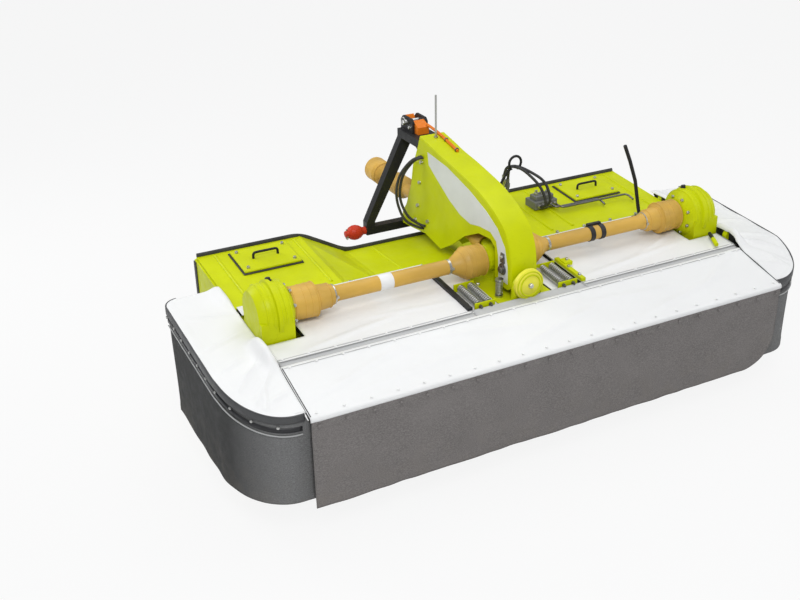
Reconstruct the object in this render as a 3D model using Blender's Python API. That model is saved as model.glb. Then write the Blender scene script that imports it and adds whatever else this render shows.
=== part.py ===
"""Disc mower conditioner carried in front of a tractor, standing on its skids and two parking legs.

Metres, +Z up. The machine works towards -Y, and its hitch looks along +Y. The origin lies on the
floor, below the middle of the machine's length and width. Run it with
blender --background --python part.py, or from Blender's text editor.
"""

import math

import bmesh
import bpy
from mathutils import Matrix, Vector

for old in list(bpy.data.objects):
    bpy.data.objects.remove(old, do_unlink=True)

# Fits shared by every sub-part
touch_gap = 0.0003
pin_gap = 0.0008
joint_gap = 0.001
overrun = 0.03

# Shares of a neighbouring size
sleeve_share = 0.8
dome_foot_share = 0.9
lug_share = 0.7
tine_root_share = 0.8
tine_tip_share = 0.99
chamfer_share = 0.3
end_share = 0.9
neck_share = 0.94
collar_share = 0.76
mouth_share = 0.96
waist_share = 0.55
tab_shares = (0.8, 0.2)
neck_widening_share = 1.3
shoulder_share = 0.85
ball_shares = (0.15, 0.30, 0.45, 0.60, 0.75, 0.88)
foot_share = 1.4
catch_shares = (0.6, 0.5, 0.3)
web_shares = (0.7, 0.5, 0.9, 0.4)
flange_shares = (0.12, 0.13, 0.85, 0.86)

# Body: end plates and cross beams
body_half_width = 1.410
end_wall = 0.010
front_beam_y = -0.650
front_beam_size = 0.060
rear_beam_y = -0.205
rear_beam_size = 0.090
rear_bar_y = 0.425
rear_bar_z = 0.560
rear_bar_size = 0.050
plate_front_margin = 0.035
plate_low_z = 0.060
plate_disc_z = 0.300
plate_foot_y = -0.160

# Cutterbar and discs
disc_count = 7
disc_end_margin = 0.135
disc_line_y = -0.400
bar_front = 0.110
bar_rear = 0.150
bar_low = 0.012
bar_high = 0.070
bar_wing = 0.110
hub_radius = 0.055
hub_top = 0.088
shoe_width = 0.300
shoe_front = 0.200
shoe_lip = 0.055
shoe_wall = 0.012
disc_wall = 0.022
dome_radius = 0.075
dome_height = 0.030
disc_length_share = 0.447
disc_width_share = 0.294
tip_share = 0.588
blade_width = 0.045
blade_wall = 0.005
drum_radius = 0.105
drum_height = 0.260
drive_shaft_radius = 0.025

# Conditioner rotor and its hood
rotor_behind_discs = 0.450
rotor_z = 0.350
rotor_core_radius = 0.085
tine_reach = 0.250
tine_width = 0.012
tine_depth = 0.030
tine_rows = 4
tines_per_row = 15
tine_spread = 0.020
stub_radius = 0.025
hood_clear = 0.020
hood_wall = 0.006
hood_arc_steps = 10

# Hood cover with its raised shoulders
cover_wall = 0.010
cover_front_y = -0.1597
cover_rear_y = 0.4500
centre_front_z = 0.700
centre_rear_z = 0.670
shoulder_front_z = 0.780
shoulder_rear_z = 0.826
shoulder_left_share = 0.571
shoulder_right_share = 0.357
shoulder_run_share = 0.200

# Lateral drive line and gearboxes
shaft_z = 0.865
guard_radius = 0.040
cone_radius = 0.088
bore_share = 0.55
cone_length = 0.260
inner_cone_length = 0.190
gearbox_width = 0.200
gearbox_radius = 0.152
gearbox_y = -0.412
gearbox_low = 0.600
gearbox_leg_front = -0.552
gearbox_leg_rear = -0.300
gearbox_leg_in = 0.030
centre_box_half = 0.105
centre_box_radius = 0.072
input_z = 0.885

# Fabric covers
fold_y = -0.745
fold_z = 0.750
front_edge_y = -1.105
front_edge_z = 0.660
deck_slope = 0.070
tarp_wall = 0.010
frame_wall = 0.022
frame_width = 0.035
seam_inset = 0.020
seam_gap = 0.014
opening_half = 0.340
deck_front_gap = 0.020
curtain_wall = 0.008
curtain_low = 0.175
curtain_corner = 0.200
side_curtain_low = 0.195
side_reach = 0.290
side_corner_x = 0.270
side_corner_y = 0.380
side_rear_y = 0.060
side_front_set = 0.045
side_hinge_out = 0.015
side_hinge_z = 0.800
knuckle_radius = 0.013
hinge_pin_radius = 0.006
knuckle_length = 0.060
flap_hinge_shares = (-0.863, -0.345, 0.345, 0.863)
side_hinge_ys = (-0.620, -0.020)

# Pivot, arm and headstock
roll_z = 0.800
roll_pin_radius = 0.020
pitch_y = -0.570
pitch_z = 0.870
pitch_pin_radius = 0.018
arm_half_width = 0.076
arm_wall = 0.008
ear_front_y = -0.690
ear_wall = 0.020
ear_rear_y = -0.485
base_wall = 0.012
base_half_width = 0.160
base_front_y = -0.722
block_half_width = 0.060
block_front_y = -0.620
block_rear_y = -0.500
block_low = 0.762
block_high = 0.905
pivot_drum_radius = 0.085
pivot_drum_depth = 0.030
cap_share = 0.8
head_y = 0.600
head_depth = 0.055
head_top = 1.300
head_foot_x = 0.290
head_foot_low = 0.680
leg_width = 0.055
cheek_in = 0.036
cheek_out = 0.052
clevis_front = 0.480
clevis_top = 1.380
catch_rise = 0.070
hitch_pin_z = 0.705
hitch_pin_y = 0.600
hitch_pin_radius = 0.018
hitch_ball_radius = 0.045
hitch_pin_reach = 0.450
input_front_y = -0.250
input_lap = 0.020
input_ball = 0.022
input_rear_y = 1.105
input_radius = 0.038
input_bell_radius = 0.048
rear_bell_radius = 0.075

# Swath boards and parking legs
board_inset = 0.180
board_y = 0.490
board_length = 0.480
board_low = 0.170
board_high = 0.500
board_wall = 0.006
board_toe = 0.110
leg_share = 0.454
leg_size = 0.050
leg_hinge_y = 0.492
leg_hinge_z = 0.530
foot_ahead = 0.045
leg_pin_radius = 0.010
cheek_wall = 0.008
board_pin_radius = 0.012
foot_size = 0.130
foot_wall = 0.012

# Small fittings
fitting_radius = 0.008
fitting_foot = 0.028
fitting_wall = 0.008
hose_y = 0.300
hose_foot_margin = 0.0114
hose_path = [(0, 0.760), (0.045, 0.805), (0.262, 0.952), (0.318, 1.035)]
hose_loop = (0.365, 1.075)
hose_loop_radius = 0.042
hose_loop_first = 235
hose_loop_last = -70
lever_inset = 0.165
lever_path = [(0.020, 0.080), (0.055, 0.240), (0.105, 0.370), (0.150, 0.470)]
lever_radius = 0.011
marker_y = 0.290
marker_length = 0.2465
marker_radius = 0.006
spring_x = 0.115
spring_y = -0.600
spring_height = 0.100
spring_radius = 0.017
spring_flange = 0.022

disc_low = hub_top + touch_gap
disc_ends_x = body_half_width - disc_end_margin
disc_pitch = 2 * disc_ends_x / (disc_count - 1)
disc_half_length = disc_pitch * disc_length_share
disc_half_width = disc_pitch * disc_width_share
tip_radius = disc_pitch * tip_share
seam_x = body_half_width - seam_inset
side_half_width = body_half_width + side_reach
side_hinge_x = body_half_width + side_hinge_out
flap_hinge_xs = [seam_x * share for share in flap_hinge_shares]
board_x = body_half_width - board_inset
leg_x = body_half_width * leg_share
rotor_y = disc_line_y + rotor_behind_discs
inner_half = body_half_width - end_wall - touch_gap
gearbox_out = inner_half
gearbox_in = gearbox_out - gearbox_width
shoulder_left_x = inner_half * shoulder_left_share
shoulder_right_x = inner_half * shoulder_right_share
shoulder_run = inner_half * shoulder_run_share


def deck_z(y):
    """Top of the fabric: a gentle rise behind the fold, and a steeper fall in front of it."""
    if y >= fold_y:
        return fold_z + (y - fold_y) * deck_slope
    return fold_z + (y - fold_y) * (fold_z - front_edge_z) / (fold_y - front_edge_y)


def seat_z(y):
    """Height at which the frames under the fabric rest on a beam whose front edge is at y."""
    return deck_z(y) - tarp_wall - frame_wall - 2 * touch_gap


front_top = seat_z(front_beam_y - front_beam_size / 2)
rear_top = seat_z(rear_beam_y - rear_beam_size / 2)
flap_axis_z = fold_z - 1.6 * knuckle_radius


# Materials
def material(name, colour, roughness, metallic=0.0):
    made = bpy.data.materials.new(name)
    made.use_nodes = True
    shader = made.node_tree.nodes["Principled BSDF"]
    shader.inputs["Base Color"].default_value = (*colour, 1.0)
    shader.inputs["Roughness"].default_value = roughness
    shader.inputs["Metallic"].default_value = metallic
    return made


lime = material("lime paint", (0.48, 0.60, 0.01), 0.40)
black = material("black paint", (0.02, 0.02, 0.02), 0.50)
steel = material("bare steel", (0.55, 0.55, 0.53), 0.35, 1.0)
white = material("white tarpaulin", (0.84, 0.84, 0.84), 0.60)
grey = material("grey curtain", (0.16, 0.15, 0.145), 0.80)
tan = material("tan guard plastic", (0.60, 0.36, 0.08), 0.45)
red = material("red hitch paint", (0.52, 0.05, 0.02), 0.40)
orange = material("orange paint", (0.70, 0.20, 0.01), 0.40)
yellow = material("yellow cap", (0.80, 0.78, 0.05), 0.40)


# Shapes, each a closed bmesh with its faces turned out
def closed(bm):
    bmesh.ops.recalc_face_normals(bm, faces=bm.faces)
    if bm.calc_volume(signed=True) < 0:
        bmesh.ops.reverse_faces(bm, faces=bm.faces)
    return bm


def loft(rings):
    """Skin over rings that have the same number of points, with the two end rings filled."""
    bm = bmesh.new()
    rows = [[bm.verts.new(point) for point in ring] for ring in rings]
    count = len(rows[0])
    for first, second in zip(rows, rows[1:]):
        for i in range(count):
            j = (i + 1) % count
            bm.faces.new((first[i], first[j], second[j], second[i]))
    bm.faces.new(rows[0])
    bm.faces.new(rows[-1])
    return closed(bm)


def along(axis, outline, start, end):
    """An outline drawn across an axis and carried from start to end along it."""
    places = {
        "X": lambda u, v, w: (w, u, v),
        "Y": lambda u, v, w: (u, w, v),
        "Z": lambda u, v, w: (u, v, w),
    }[axis]
    return loft([[places(u, v, w) for u, v in outline] for w in (start, end)])


def box(x, y, z):
    """A block between two x, two y and two z values."""
    return along("Z", [(x[0], y[0]), (x[1], y[0]), (x[1], y[1]), (x[0], y[1])], *z)


def ring(centre, axis, radius, sides):
    """Points of a circle round an axis through a centre."""
    turn = Vector((0, 0, 1)).rotation_difference(Vector(axis).normalized())
    angles = [2 * math.pi * (i + 0.5) / sides for i in range(sides)]
    return [Vector(centre) + turn @ Vector((radius * math.cos(a), radius * math.sin(a), 0)) for a in angles]


def turned(start, end, profile, sides=20):
    """A turned piece on the line from start to end: profile holds (distance from start, radius)."""
    start, end = Vector(start), Vector(end)
    axis = (end - start).normalized()
    return loft([ring(start + axis * along_axis, axis, radius, sides) for along_axis, radius in profile])


def ball(centre, radius, sides=24):
    """A sphere, from rings of growing and shrinking radius along Y."""
    bm = bmesh.new()
    turn = Matrix.Translation(centre) @ Matrix.Rotation(math.pi / 2, 4, "X")
    bmesh.ops.create_uvsphere(bm, u_segments=sides, v_segments=sides // 2, radius=radius, matrix=turn)
    return closed(bm)


def rod(start, end, radius, sides=16):
    length = (Vector(end) - Vector(start)).length
    return turned(start, end, [(0, radius), (length, radius)], sides)


def bent(path, normal, radius, sides=10):
    """A round bar along a flat path whose plane has this normal."""
    points = [Vector(point) for point in path]
    normal = Vector(normal)
    rings = []
    for before, point, after in zip([points[0]] + points, points, points[1:] + [points[-1]]):
        across = (after - before).normalized().cross(normal)
        angles = [2 * math.pi * i / sides for i in range(sides)]
        rings.append([
            point + normal * (radius * math.cos(a)) + across * (radius * math.sin(a)) for a in angles])
    return loft(rings)


def draped(outline, wall, drop=0.0, folds=()):
    """A sheet with this plan outline, laid on the deck's surface, drop below it and wall thick."""
    bm = along("Z", outline, -drop - wall, -drop)
    for y in folds:
        parts = bm.verts[:] + bm.edges[:] + bm.faces[:]
        bmesh.ops.bisect_plane(bm, geom=parts, plane_co=(0, y, 0), plane_no=(0, 1, 0), dist=1e-6)
    for vert in bm.verts:
        vert.co.z += deck_z(vert.co.y)
    return closed(bm)


def bar(x, y):
    """Plan of a flat bar between two x and two y values."""
    return [(x[0], y[0]), (x[1], y[0]), (x[1], y[1]), (x[0], y[1])]


def ladder(rails, rungs, drop, folds=()):
    """Flat bars under the fabric: the rungs are a little thinner than the rails that they run into."""
    laid = [draped(rail, frame_wall, drop, folds) for rail in rails]
    return laid + [draped(rung, frame_wall - 2 * joint_gap, drop + joint_gap, folds) for rung in rungs]


def ribbon(path, wall, low, top):
    """A hanging sheet on a plan path, from height low up to top(y), with its thickness inside."""
    count = len(path)
    points = [Vector((x, y)) for x, y in path]
    inner = []
    for i, point in enumerate(points):
        before = points[max(i - 1, 0)]
        after = points[min(i + 1, count - 1)]
        way = (after - before).normalized()
        inner.append(point + Vector((-way.y, way.x)) * wall)
    rings = []
    for out, into in zip(points, inner):
        rings.append([
            (out.x, out.y, low), (out.x, out.y, top(out.y)),
            (into.x, into.y, top(into.y)), (into.x, into.y, low)])
    return loft(rings)


def helper(bm):
    mesh = bpy.data.meshes.new("shape")
    bm.to_mesh(mesh)
    bm.free()
    made = bpy.data.objects.new("shape", mesh)
    bpy.context.scene.collection.objects.link(made)
    return made


def piece(name, paint, shapes, cuts=(), origin=(0, 0, 0), side=1):
    """One closed solid: the shapes joined, less the cuts, as an object whose origin lies on its joint.

    A side of -1 turns shapes that were drawn on the right into the left-hand piece.
    """
    helpers = [helper(bm) for bm in shapes]
    cutters = [helper(bm) for bm in cuts]
    base = helpers[0]
    for operation, others in (("UNION", helpers[1:]), ("DIFFERENCE", cutters)):
        for other in others:
            modifier = base.modifiers.new(operation.lower(), "BOOLEAN")
            modifier.operation = operation
            modifier.object = other
    bpy.context.view_layer.update()
    graph = bpy.context.evaluated_depsgraph_get()
    mesh = bpy.data.meshes.new_from_object(base.evaluated_get(graph))
    for used in helpers + cutters:
        bpy.data.objects.remove(used, do_unlink=True)
    if side < 0:
        mesh.transform(Matrix.Scale(-1, 4, (1, 0, 0)))
        mesh.flip_normals()
    mesh.name = name
    mesh.transform(Matrix.Translation(-Vector(origin)))
    mesh.materials.clear()
    mesh.materials.append(paint)
    mesh.shade_smooth()
    mesh.set_sharp_from_angle(angle=math.radians(30))
    made = bpy.data.objects.new(name, mesh)
    made.location = origin
    bpy.context.scene.collection.objects.link(made)
    return made


def arc(centre, radius, first, last, steps):
    """Points on a circle from one angle to another, in degrees."""
    angles = [math.radians(first + (last - first) * i / steps) for i in range(steps + 1)]
    return [(centre[0] + radius * math.cos(a), centre[1] + radius * math.sin(a)) for a in angles]


sides = (("left", -1), ("right", 1))


def span(a, b):
    """Two values in rising order, for a range that may be on either side of the middle."""
    return (min(a, b), max(a, b))


# Cutterbar: one closed bar with a hub and a shoe under each disc
def disc_places():
    return [(i - (disc_count - 1) / 2) * disc_pitch for i in range(disc_count)]


def cutterbar():
    front = disc_line_y - bar_front
    rear = disc_line_y + bar_rear
    bevel = (bar_high - bar_low) / 2
    profile = [
        (front, bar_low + bevel),
        (front + bevel, bar_low),
        (rear, bar_low),
        (rear, bar_high),
        (front + bevel, bar_high),
    ]
    end = disc_ends_x + bar_front
    shapes = [along("X", profile, -end, end)]
    for x in disc_places():
        shapes.append(rod((x, disc_line_y, bar_low + bevel), (x, disc_line_y, hub_top), hub_radius))
        lip = disc_line_y - shoe_front
        shoe = [
            (lip, shoe_lip),
            (lip + shoe_wall, shoe_lip + shoe_wall),
            (front, bar_low + shoe_wall),
            (rear, bar_low + shoe_wall / 2),
            (rear, 0),
            (front + bevel / 2, 0),
        ]
        shapes.append(along("X", shoe, x - shoe_width / 2, x + shoe_width / 2))
    for _, side in sides:
        wing_x = span(side * inner_half, side * (inner_half - bar_wing))
        shapes.append(box(wing_x, (rear - overrun, rotor_y), (bar_low + shoe_wall, bar_high - shoe_wall)))
    return piece("cutterbar", steel, shapes)


def cutting_disc(index, x):
    """An oval disc with a dome and two blades: neighbours stand a quarter turn apart."""
    base = (x, disc_line_y, 0)
    quarter = math.pi / 2 * (index % 2)
    oval = []
    for i in range(28):
        a = 2 * math.pi * i / 28
        u, v = disc_half_length * math.cos(a), disc_half_width * math.sin(a)
        oval.append((
            u * math.cos(quarter) - v * math.sin(quarter),
            u * math.sin(quarter) + v * math.cos(quarter)))
    shapes = [along("Z", [(x + u, disc_line_y + v) for u, v in oval], disc_low, disc_low + disc_wall)]
    dome_foot = disc_low + disc_wall
    dome_top = dome_foot + dome_height
    start = (x, disc_line_y, disc_low)
    end = (x, disc_line_y, dome_top)
    if index in (0, disc_count - 1):
        drum_top = dome_foot + drum_height
        shapes.append(turned(start, end, [
            (0, drum_radius),
            (drum_top - disc_low, drum_radius),
            (drum_top - disc_low + dome_height, dome_radius)]))
        shapes.append(rod(
            (x, disc_line_y, drum_top), (x, disc_line_y, gearbox_low - touch_gap), drive_shaft_radius))
    else:
        shapes.append(turned(start, end, [
            (0, disc_half_width * dome_foot_share),
            (disc_wall, disc_half_width * dome_foot_share),
            (dome_top - disc_low, dome_radius / 2)]))
    for turn in (quarter, quarter + math.pi):
        way = Vector((math.cos(turn), math.sin(turn)))
        across = Vector((-way.y, way.x)) * blade_width / 2
        inner = way * (disc_half_length - blade_width)
        outer = way * (tip_radius - blade_width / 4)
        tip = way * tip_radius
        corners = [
            inner - across, outer - across, tip - across / 2,
            tip + across / 2, outer + across, inner + across]
        blade = [(x + c.x, disc_line_y + c.y) for c in corners]
        shapes.append(along("Z", blade, disc_low + disc_wall / 4, disc_low + disc_wall / 4 + blade_wall))
    return piece(f"disc_{index + 1}", steel if 0 < index < disc_count - 1 else lime, shapes, origin=base)


# Body: end plates, beams, hood
def end_plate(word, side):
    x = span(side * body_half_width, side * (body_half_width - end_wall))
    front = front_beam_y - plate_front_margin
    top_rear = rear_bar_z + rear_bar_size
    outline = [
        (front, deck_z(front) - tarp_wall - 2 * frame_wall),
        (front, plate_disc_z + front_beam_size),
        (front + front_beam_size, plate_disc_z),
        (plate_foot_y, plate_disc_z),
        (plate_foot_y + end_wall, plate_low_z / 2),
        (rotor_y + rotor_core_radius, plate_low_z / 2),
        (cover_rear_y, rotor_z - tine_reach / 2),
        (cover_rear_y + rear_bar_size, rear_bar_z - rear_bar_size),
        (cover_rear_y + touch_gap, top_rear),
        (cover_rear_y, shoulder_rear_z - cover_wall),
        (cover_front_y, shoulder_front_z - cover_wall),
    ]
    shapes = [along("X", outline, *x)]
    inner = side * (body_half_width - end_wall / 2)
    boss_end = side * (body_half_width - 4 * end_wall)
    shapes.append(rod((inner, rotor_y, rotor_z), (boss_end, rotor_y, rotor_z), 2 * stub_radius))
    cuts = [rod(
        (side * (body_half_width + overrun), rotor_y, rotor_z),
        (boss_end - side * overrun, rotor_y, rotor_z), stub_radius + pin_gap)]
    for y in side_hinge_ys:
        web = [
            (side * (body_half_width - end_wall), front_top - front_beam_size),
            (side * body_half_width, front_top - front_beam_size),
            (side * (side_hinge_x + knuckle_radius / 2), side_hinge_z - knuckle_radius / 2),
            (side * (side_hinge_x - knuckle_radius / 2), side_hinge_z + knuckle_radius / 2),
            (side * (body_half_width - end_wall), side_hinge_z - 2 * knuckle_radius),
        ]
        half = knuckle_length / 4
        shapes.append(along("Y", web, y - half, y + half))
        shapes.append(rod(
            (side * side_hinge_x, y - half, side_hinge_z),
            (side * side_hinge_x, y + half, side_hinge_z), knuckle_radius))
        shapes.append(rod(
            (side * side_hinge_x, y - knuckle_length, side_hinge_z),
            (side * side_hinge_x, y + knuckle_length, side_hinge_z), hinge_pin_radius, 12))
    return piece(f"end_plate_{word}", lime, shapes, cuts)


def leg_bracket(x):
    """Two cheeks and the pin that a parking leg hangs on."""
    near = leg_size / 2 + joint_gap
    far = near + cheek_wall
    y = (rear_bar_y, leg_hinge_y + 2 * leg_pin_radius)
    z = (leg_hinge_z - 2 * leg_pin_radius, leg_hinge_z + 2 * leg_pin_radius)
    shapes = [box(span(x + sign * near, x + sign * far), y, z) for sign in (-1, 1)]
    reach = near + cheek_wall / 2
    start, end = (x - reach, leg_hinge_y, leg_hinge_z), (x + reach, leg_hinge_y, leg_hinge_z)
    return shapes + [rod(start, end, leg_pin_radius)]


def board_bracket(x):
    """The plate that holds a swath board's upright pin from above."""
    low = board_high + board_pin_radius + touch_gap
    y = (rear_bar_y, board_y + 2 * board_pin_radius)
    half = 2 * board_pin_radius
    return [box((x - half, x + half), y, (low, rear_bar_z + board_pin_radius / 2))]


def cross_beam(y, size, top):
    """A square bar from one end plate to the other, under a height."""
    return box((-inner_half, inner_half), (y - size / 2, y + size / 2), (top - size, top))


def beams():
    shapes = [cross_beam(front_beam_y, front_beam_size, front_top)]
    for x in flap_hinge_xs:
        cheek = knuckle_radius * lug_share
        lug = [
            (front_beam_y, front_top - 2 * knuckle_radius),
            (fold_y - cheek, front_top - 2 * knuckle_radius),
            (fold_y - cheek, flap_axis_z),
            (fold_y + cheek, flap_axis_z),
            (fold_y + cheek, front_top - knuckle_radius),
            (front_beam_y, front_top - knuckle_radius),
        ]
        reach = knuckle_length / 4
        shapes.append(along("X", lug, x - reach, x + reach))
        for half, radius, count in ((reach, knuckle_radius, 16), (knuckle_length, hinge_pin_radius, 12)):
            start, end = (x - half, fold_y, flap_axis_z), (x + half, fold_y, flap_axis_z)
            shapes.append(rod(start, end, radius, count))
    piece("front_beam", black, shapes)
    piece("rear_beam", lime, [cross_beam(rear_beam_y, rear_beam_size, rear_top)])
    shapes = [cross_beam(rear_bar_y, rear_bar_size, rear_bar_z + rear_bar_size / 2)]
    for _, side in sides:
        shapes += leg_bracket(side * leg_x) + board_bracket(side * board_x)
    piece("rear_bar", lime, shapes)


def hood_shell():
    """The sheet over the conditioner rotor: an arc round the tines, then a straight roof to the outlet."""
    radius = tine_reach + hood_clear
    centre = (rotor_y, rotor_z)
    inner = arc(centre, radius, 150, 55, hood_arc_steps)
    outer = arc(centre, radius + hood_wall, 150, 55, hood_arc_steps)
    roof_low = rear_bar_z - rear_bar_size / 2 - hood_wall - touch_gap
    rear = rear_bar_y - rear_bar_size / 2
    outline = inner + [(rear, roof_low), (rear, roof_low + hood_wall)] + outer[::-1]
    return piece("hood_shell", lime, [along("X", outline, -inner_half, inner_half)])


def hood_cover():
    """Lime cover over the conditioner: low in the middle, with a raised shoulder at each end."""
    low_front = rear_top - rear_beam_size
    low_rear = rear_bar_z + rear_bar_size / 2 + touch_gap
    stations = [
        (-inner_half, 1), (-shoulder_left_x, 1), (-shoulder_left_x + shoulder_run, 0),
        (shoulder_right_x - shoulder_run, 0), (shoulder_right_x, 1), (inner_half, 1),
    ]
    rings = []
    for x, raised in stations:
        front = shoulder_front_z if raised else centre_front_z
        rear = shoulder_rear_z if raised else centre_rear_z
        rings.append([
            (x, cover_front_y, low_front),
            (x, cover_front_y, front),
            (x, cover_rear_y, rear),
            (x, cover_rear_y, low_rear),
            (x, cover_rear_y - cover_wall, low_rear),
            (x, cover_rear_y - cover_wall, rear - cover_wall),
            (x, cover_front_y + cover_wall, front - cover_wall),
            (x, cover_front_y + cover_wall, low_front),
        ])
    return piece("hood_cover", lime, [loft(rings)])


def rotor():
    """Conditioner rotor: a tube with rows of steel tines, each row turned half a pitch on."""
    start = (-body_half_width + end_wall, rotor_y, rotor_z)
    end = (body_half_width - end_wall, rotor_y, rotor_z)
    core_half = inner_half - 4 * end_wall
    full = body_half_width - end_wall
    shapes = [turned(start, end, [
        (0, stub_radius), (full - core_half, stub_radius),
        (full - core_half + touch_gap, rotor_core_radius),
        (full + core_half - touch_gap, rotor_core_radius),
        (full + core_half, stub_radius), (2 * full, stub_radius)])]
    pitch = 2 * (core_half - tine_depth) / tines_per_row
    tine_root = rotor_core_radius * tine_root_share
    for row in range(tine_rows):
        turn = 2 * math.pi * row / tine_rows
        out = Vector((0, math.cos(turn), math.sin(turn)))
        across = Vector((0, -out.z, out.y))
        for i in range(tines_per_row):
            x = -core_half + tine_depth + pitch * (i + (1 + row % 2) / 2 - 1 / 4)
            root = Vector((x, rotor_y, rotor_z))
            foot = [root + out * tine_root + across * a + Vector((b, 0, 0)) for a, b in (
                (-tine_depth / 2, -tine_width / 2), (tine_depth / 2, -tine_width / 2),
                (tine_depth / 2, tine_width / 2), (-tine_depth / 2, tine_width / 2))]
            lean = across * -tine_spread
            head = [point + out * (tine_reach - tine_root) * tine_tip_share + lean for point in foot]
            shapes.append(loft([foot, head]))
    return piece("conditioner_rotor", steel, shapes, origin=(0, rotor_y, rotor_z))


# Drive line
def end_gearbox(word, side):
    """Housing over the end drum: a ribbed round case on a square leg, with a boss inside the shaft guard."""
    x_mid = side * disc_ends_x
    outer = side * gearbox_out
    inner = side * gearbox_in
    chamfer = gearbox_radius / 4
    rib = gearbox_radius - chamfer / 3
    width = gearbox_width
    centre = (gearbox_y, shaft_z)
    leg_x = span(side * (gearbox_in + gearbox_leg_in), side * (gearbox_out - joint_gap))
    shapes = [
        turned((inner, *centre), (outer, *centre), [
            (0, gearbox_radius - 2 * chamfer), (chamfer / 2, gearbox_radius - chamfer), (chamfer, rib),
            (width / 2 - chamfer / 3, rib), (width / 2, gearbox_radius), (width / 2 + chamfer / 3, rib),
            (width - chamfer, rib), (width, gearbox_radius - chamfer)], 20),
        box(leg_x, (gearbox_leg_front, gearbox_leg_rear), (gearbox_low, shaft_z)),
    ]
    boss = side * (gearbox_in - cone_length / 5)
    shapes.append(rod((x_mid, disc_line_y, shaft_z), (boss, disc_line_y, shaft_z), cone_radius * bore_share))
    return piece(f"end_gearbox_{word}", lime, shapes)


def centre_gearbox():
    centre = (disc_line_y, shaft_z)
    chamfer = centre_box_radius * chamfer_share
    width = 2 * centre_box_half
    deep = centre_box_radius / 2
    foot = front_top + base_wall + 2 * touch_gap
    shapes = [
        turned((-centre_box_half, *centre), (centre_box_half, *centre), [
            (0, centre_box_radius - chamfer), (chamfer, centre_box_radius),
            (width - chamfer, centre_box_radius), (width, centre_box_radius - chamfer)], 16),
        box((-centre_box_half / 2, centre_box_half / 2), (disc_line_y - deep, disc_line_y + 2 * deep),
            (foot, shaft_z)),
        rod((0, disc_line_y, input_z), (0, input_front_y - input_lap, input_z), input_radius * sleeve_share),
        rod((0, disc_line_y, input_z), (0, input_front_y, input_z), input_ball * lug_share),
        ball((0, input_front_y, input_z), input_ball),
    ]
    return piece("centre_gearbox", lime, shapes)


def shaft_guard(word, side):
    """Plastic guard of a lateral drive shaft: a tube with a bell at each end."""
    inner = centre_box_half + touch_gap
    outer = gearbox_in - touch_gap
    length = outer - inner
    start = (side * inner, disc_line_y, shaft_z)
    end = (side * outer, disc_line_y, shaft_z)
    profile = [
        (0, cone_radius * neck_share), (inner_cone_length * waist_share, cone_radius),
        (inner_cone_length * lug_share, cone_radius * sleeve_share),
        (inner_cone_length, guard_radius), (length - cone_length, guard_radius),
        (length - cone_length * sleeve_share, cone_radius * lug_share),
        (length - cone_length * waist_share, cone_radius * collar_share),
        (length - cone_length / 2, cone_radius), (length, cone_radius * mouth_share)]
    bore = cone_radius * bore_share + touch_gap
    bottom = (side * (gearbox_in - cone_length / 5 - touch_gap), disc_line_y, shaft_z)
    cuts = [rod(bottom, (side * (outer + overrun), disc_line_y, shaft_z), bore)]
    return piece(f"shaft_guard_{word}", tan, [turned(start, end, profile, 24)], cuts)


def cradle():
    base_top = front_top + touch_gap + base_wall
    rear = rear_beam_y - rear_beam_size / 2 - touch_gap
    base = box((-base_half_width, base_half_width), (base_front_y, rear), (front_top + touch_gap, base_top))
    shapes = [base]
    low = base_top - base_wall / 2
    rear_width = block_half_width * sleeve_share
    for y, width, wall in (
            (ear_front_y, pivot_drum_radius, ear_wall), (ear_rear_y, rear_width, ear_wall / 2)):
        outline = [(width, low)] + arc((0, roll_z), width, 0, 180, 8) + [(-width, low)]
        shapes.append(along("Y", outline, y, y + wall))
    start, end = ear_front_y + ear_wall / 2, ear_rear_y + ear_wall / 4
    shapes.append(rod((0, start, roll_z), (0, end, roll_z), roll_pin_radius))
    return piece("cradle", lime, shapes)


def pivot_drum():
    """Yellow cap that stands on the base, against the front ear."""
    front = ear_front_y - touch_gap - pivot_drum_depth
    z = front_top + base_wall + 2 * touch_gap + pivot_drum_radius
    return piece("pivot_drum", yellow, [turned(
        (0, front, z), (0, ear_front_y, z), [
            (0, pivot_drum_radius * cap_share), (pivot_drum_depth / 3, pivot_drum_radius),
            (pivot_drum_depth, pivot_drum_radius)])])


def pivot_block():
    foot = block_half_width * lug_share
    outline = [
        (-foot, block_low), (foot, block_low), (block_half_width, roll_z),
        (block_half_width, block_high), (-block_half_width, block_high), (-block_half_width, roll_z)]
    shapes = [along("Y", outline, block_front_y, block_rear_y)]
    reach = arm_half_width + arm_wall
    shapes.append(rod((-reach, pitch_y, pitch_z), (reach, pitch_y, pitch_z), pitch_pin_radius))
    start, end = block_front_y - overrun, block_rear_y + overrun
    cuts = [rod((0, start, roll_z), (0, end, roll_z), roll_pin_radius + pin_gap)]
    return piece("pivot_block", black, shapes, cuts, origin=(0, pitch_y, roll_z))


# Arm: the side view's outline as (y, z), front foot first and round over the top
arm_top = [
    (-0.655, 0.790), (-0.652, 0.900), (-0.632, 1.000), (-0.580, 1.085), (-0.480, 1.150), (-0.380, 1.192),
    (-0.281, 1.222), (-0.060, 1.263), (0.100, 1.285), (0.200, 1.305), (0.340, 1.330)]
arm_back = [
    (0.372, 1.250), (0.430, 1.130), (0.458, 1.000), (0.520, 0.860),
    (head_y - head_depth / 2 - touch_gap, 0.790), (head_y - head_depth / 2 - touch_gap, 0.718)]
arm_belly = [
    (0.470, 0.728), (0.280, 0.752), (0.100, 0.724), (-0.030, 0.800), (-0.170, 0.905), (-0.320, 0.978),
    (-0.440, 0.990), (-0.486, 0.960), (-0.492, 0.800), (-0.530, 0.768), (-0.620, 0.768)]


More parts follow.
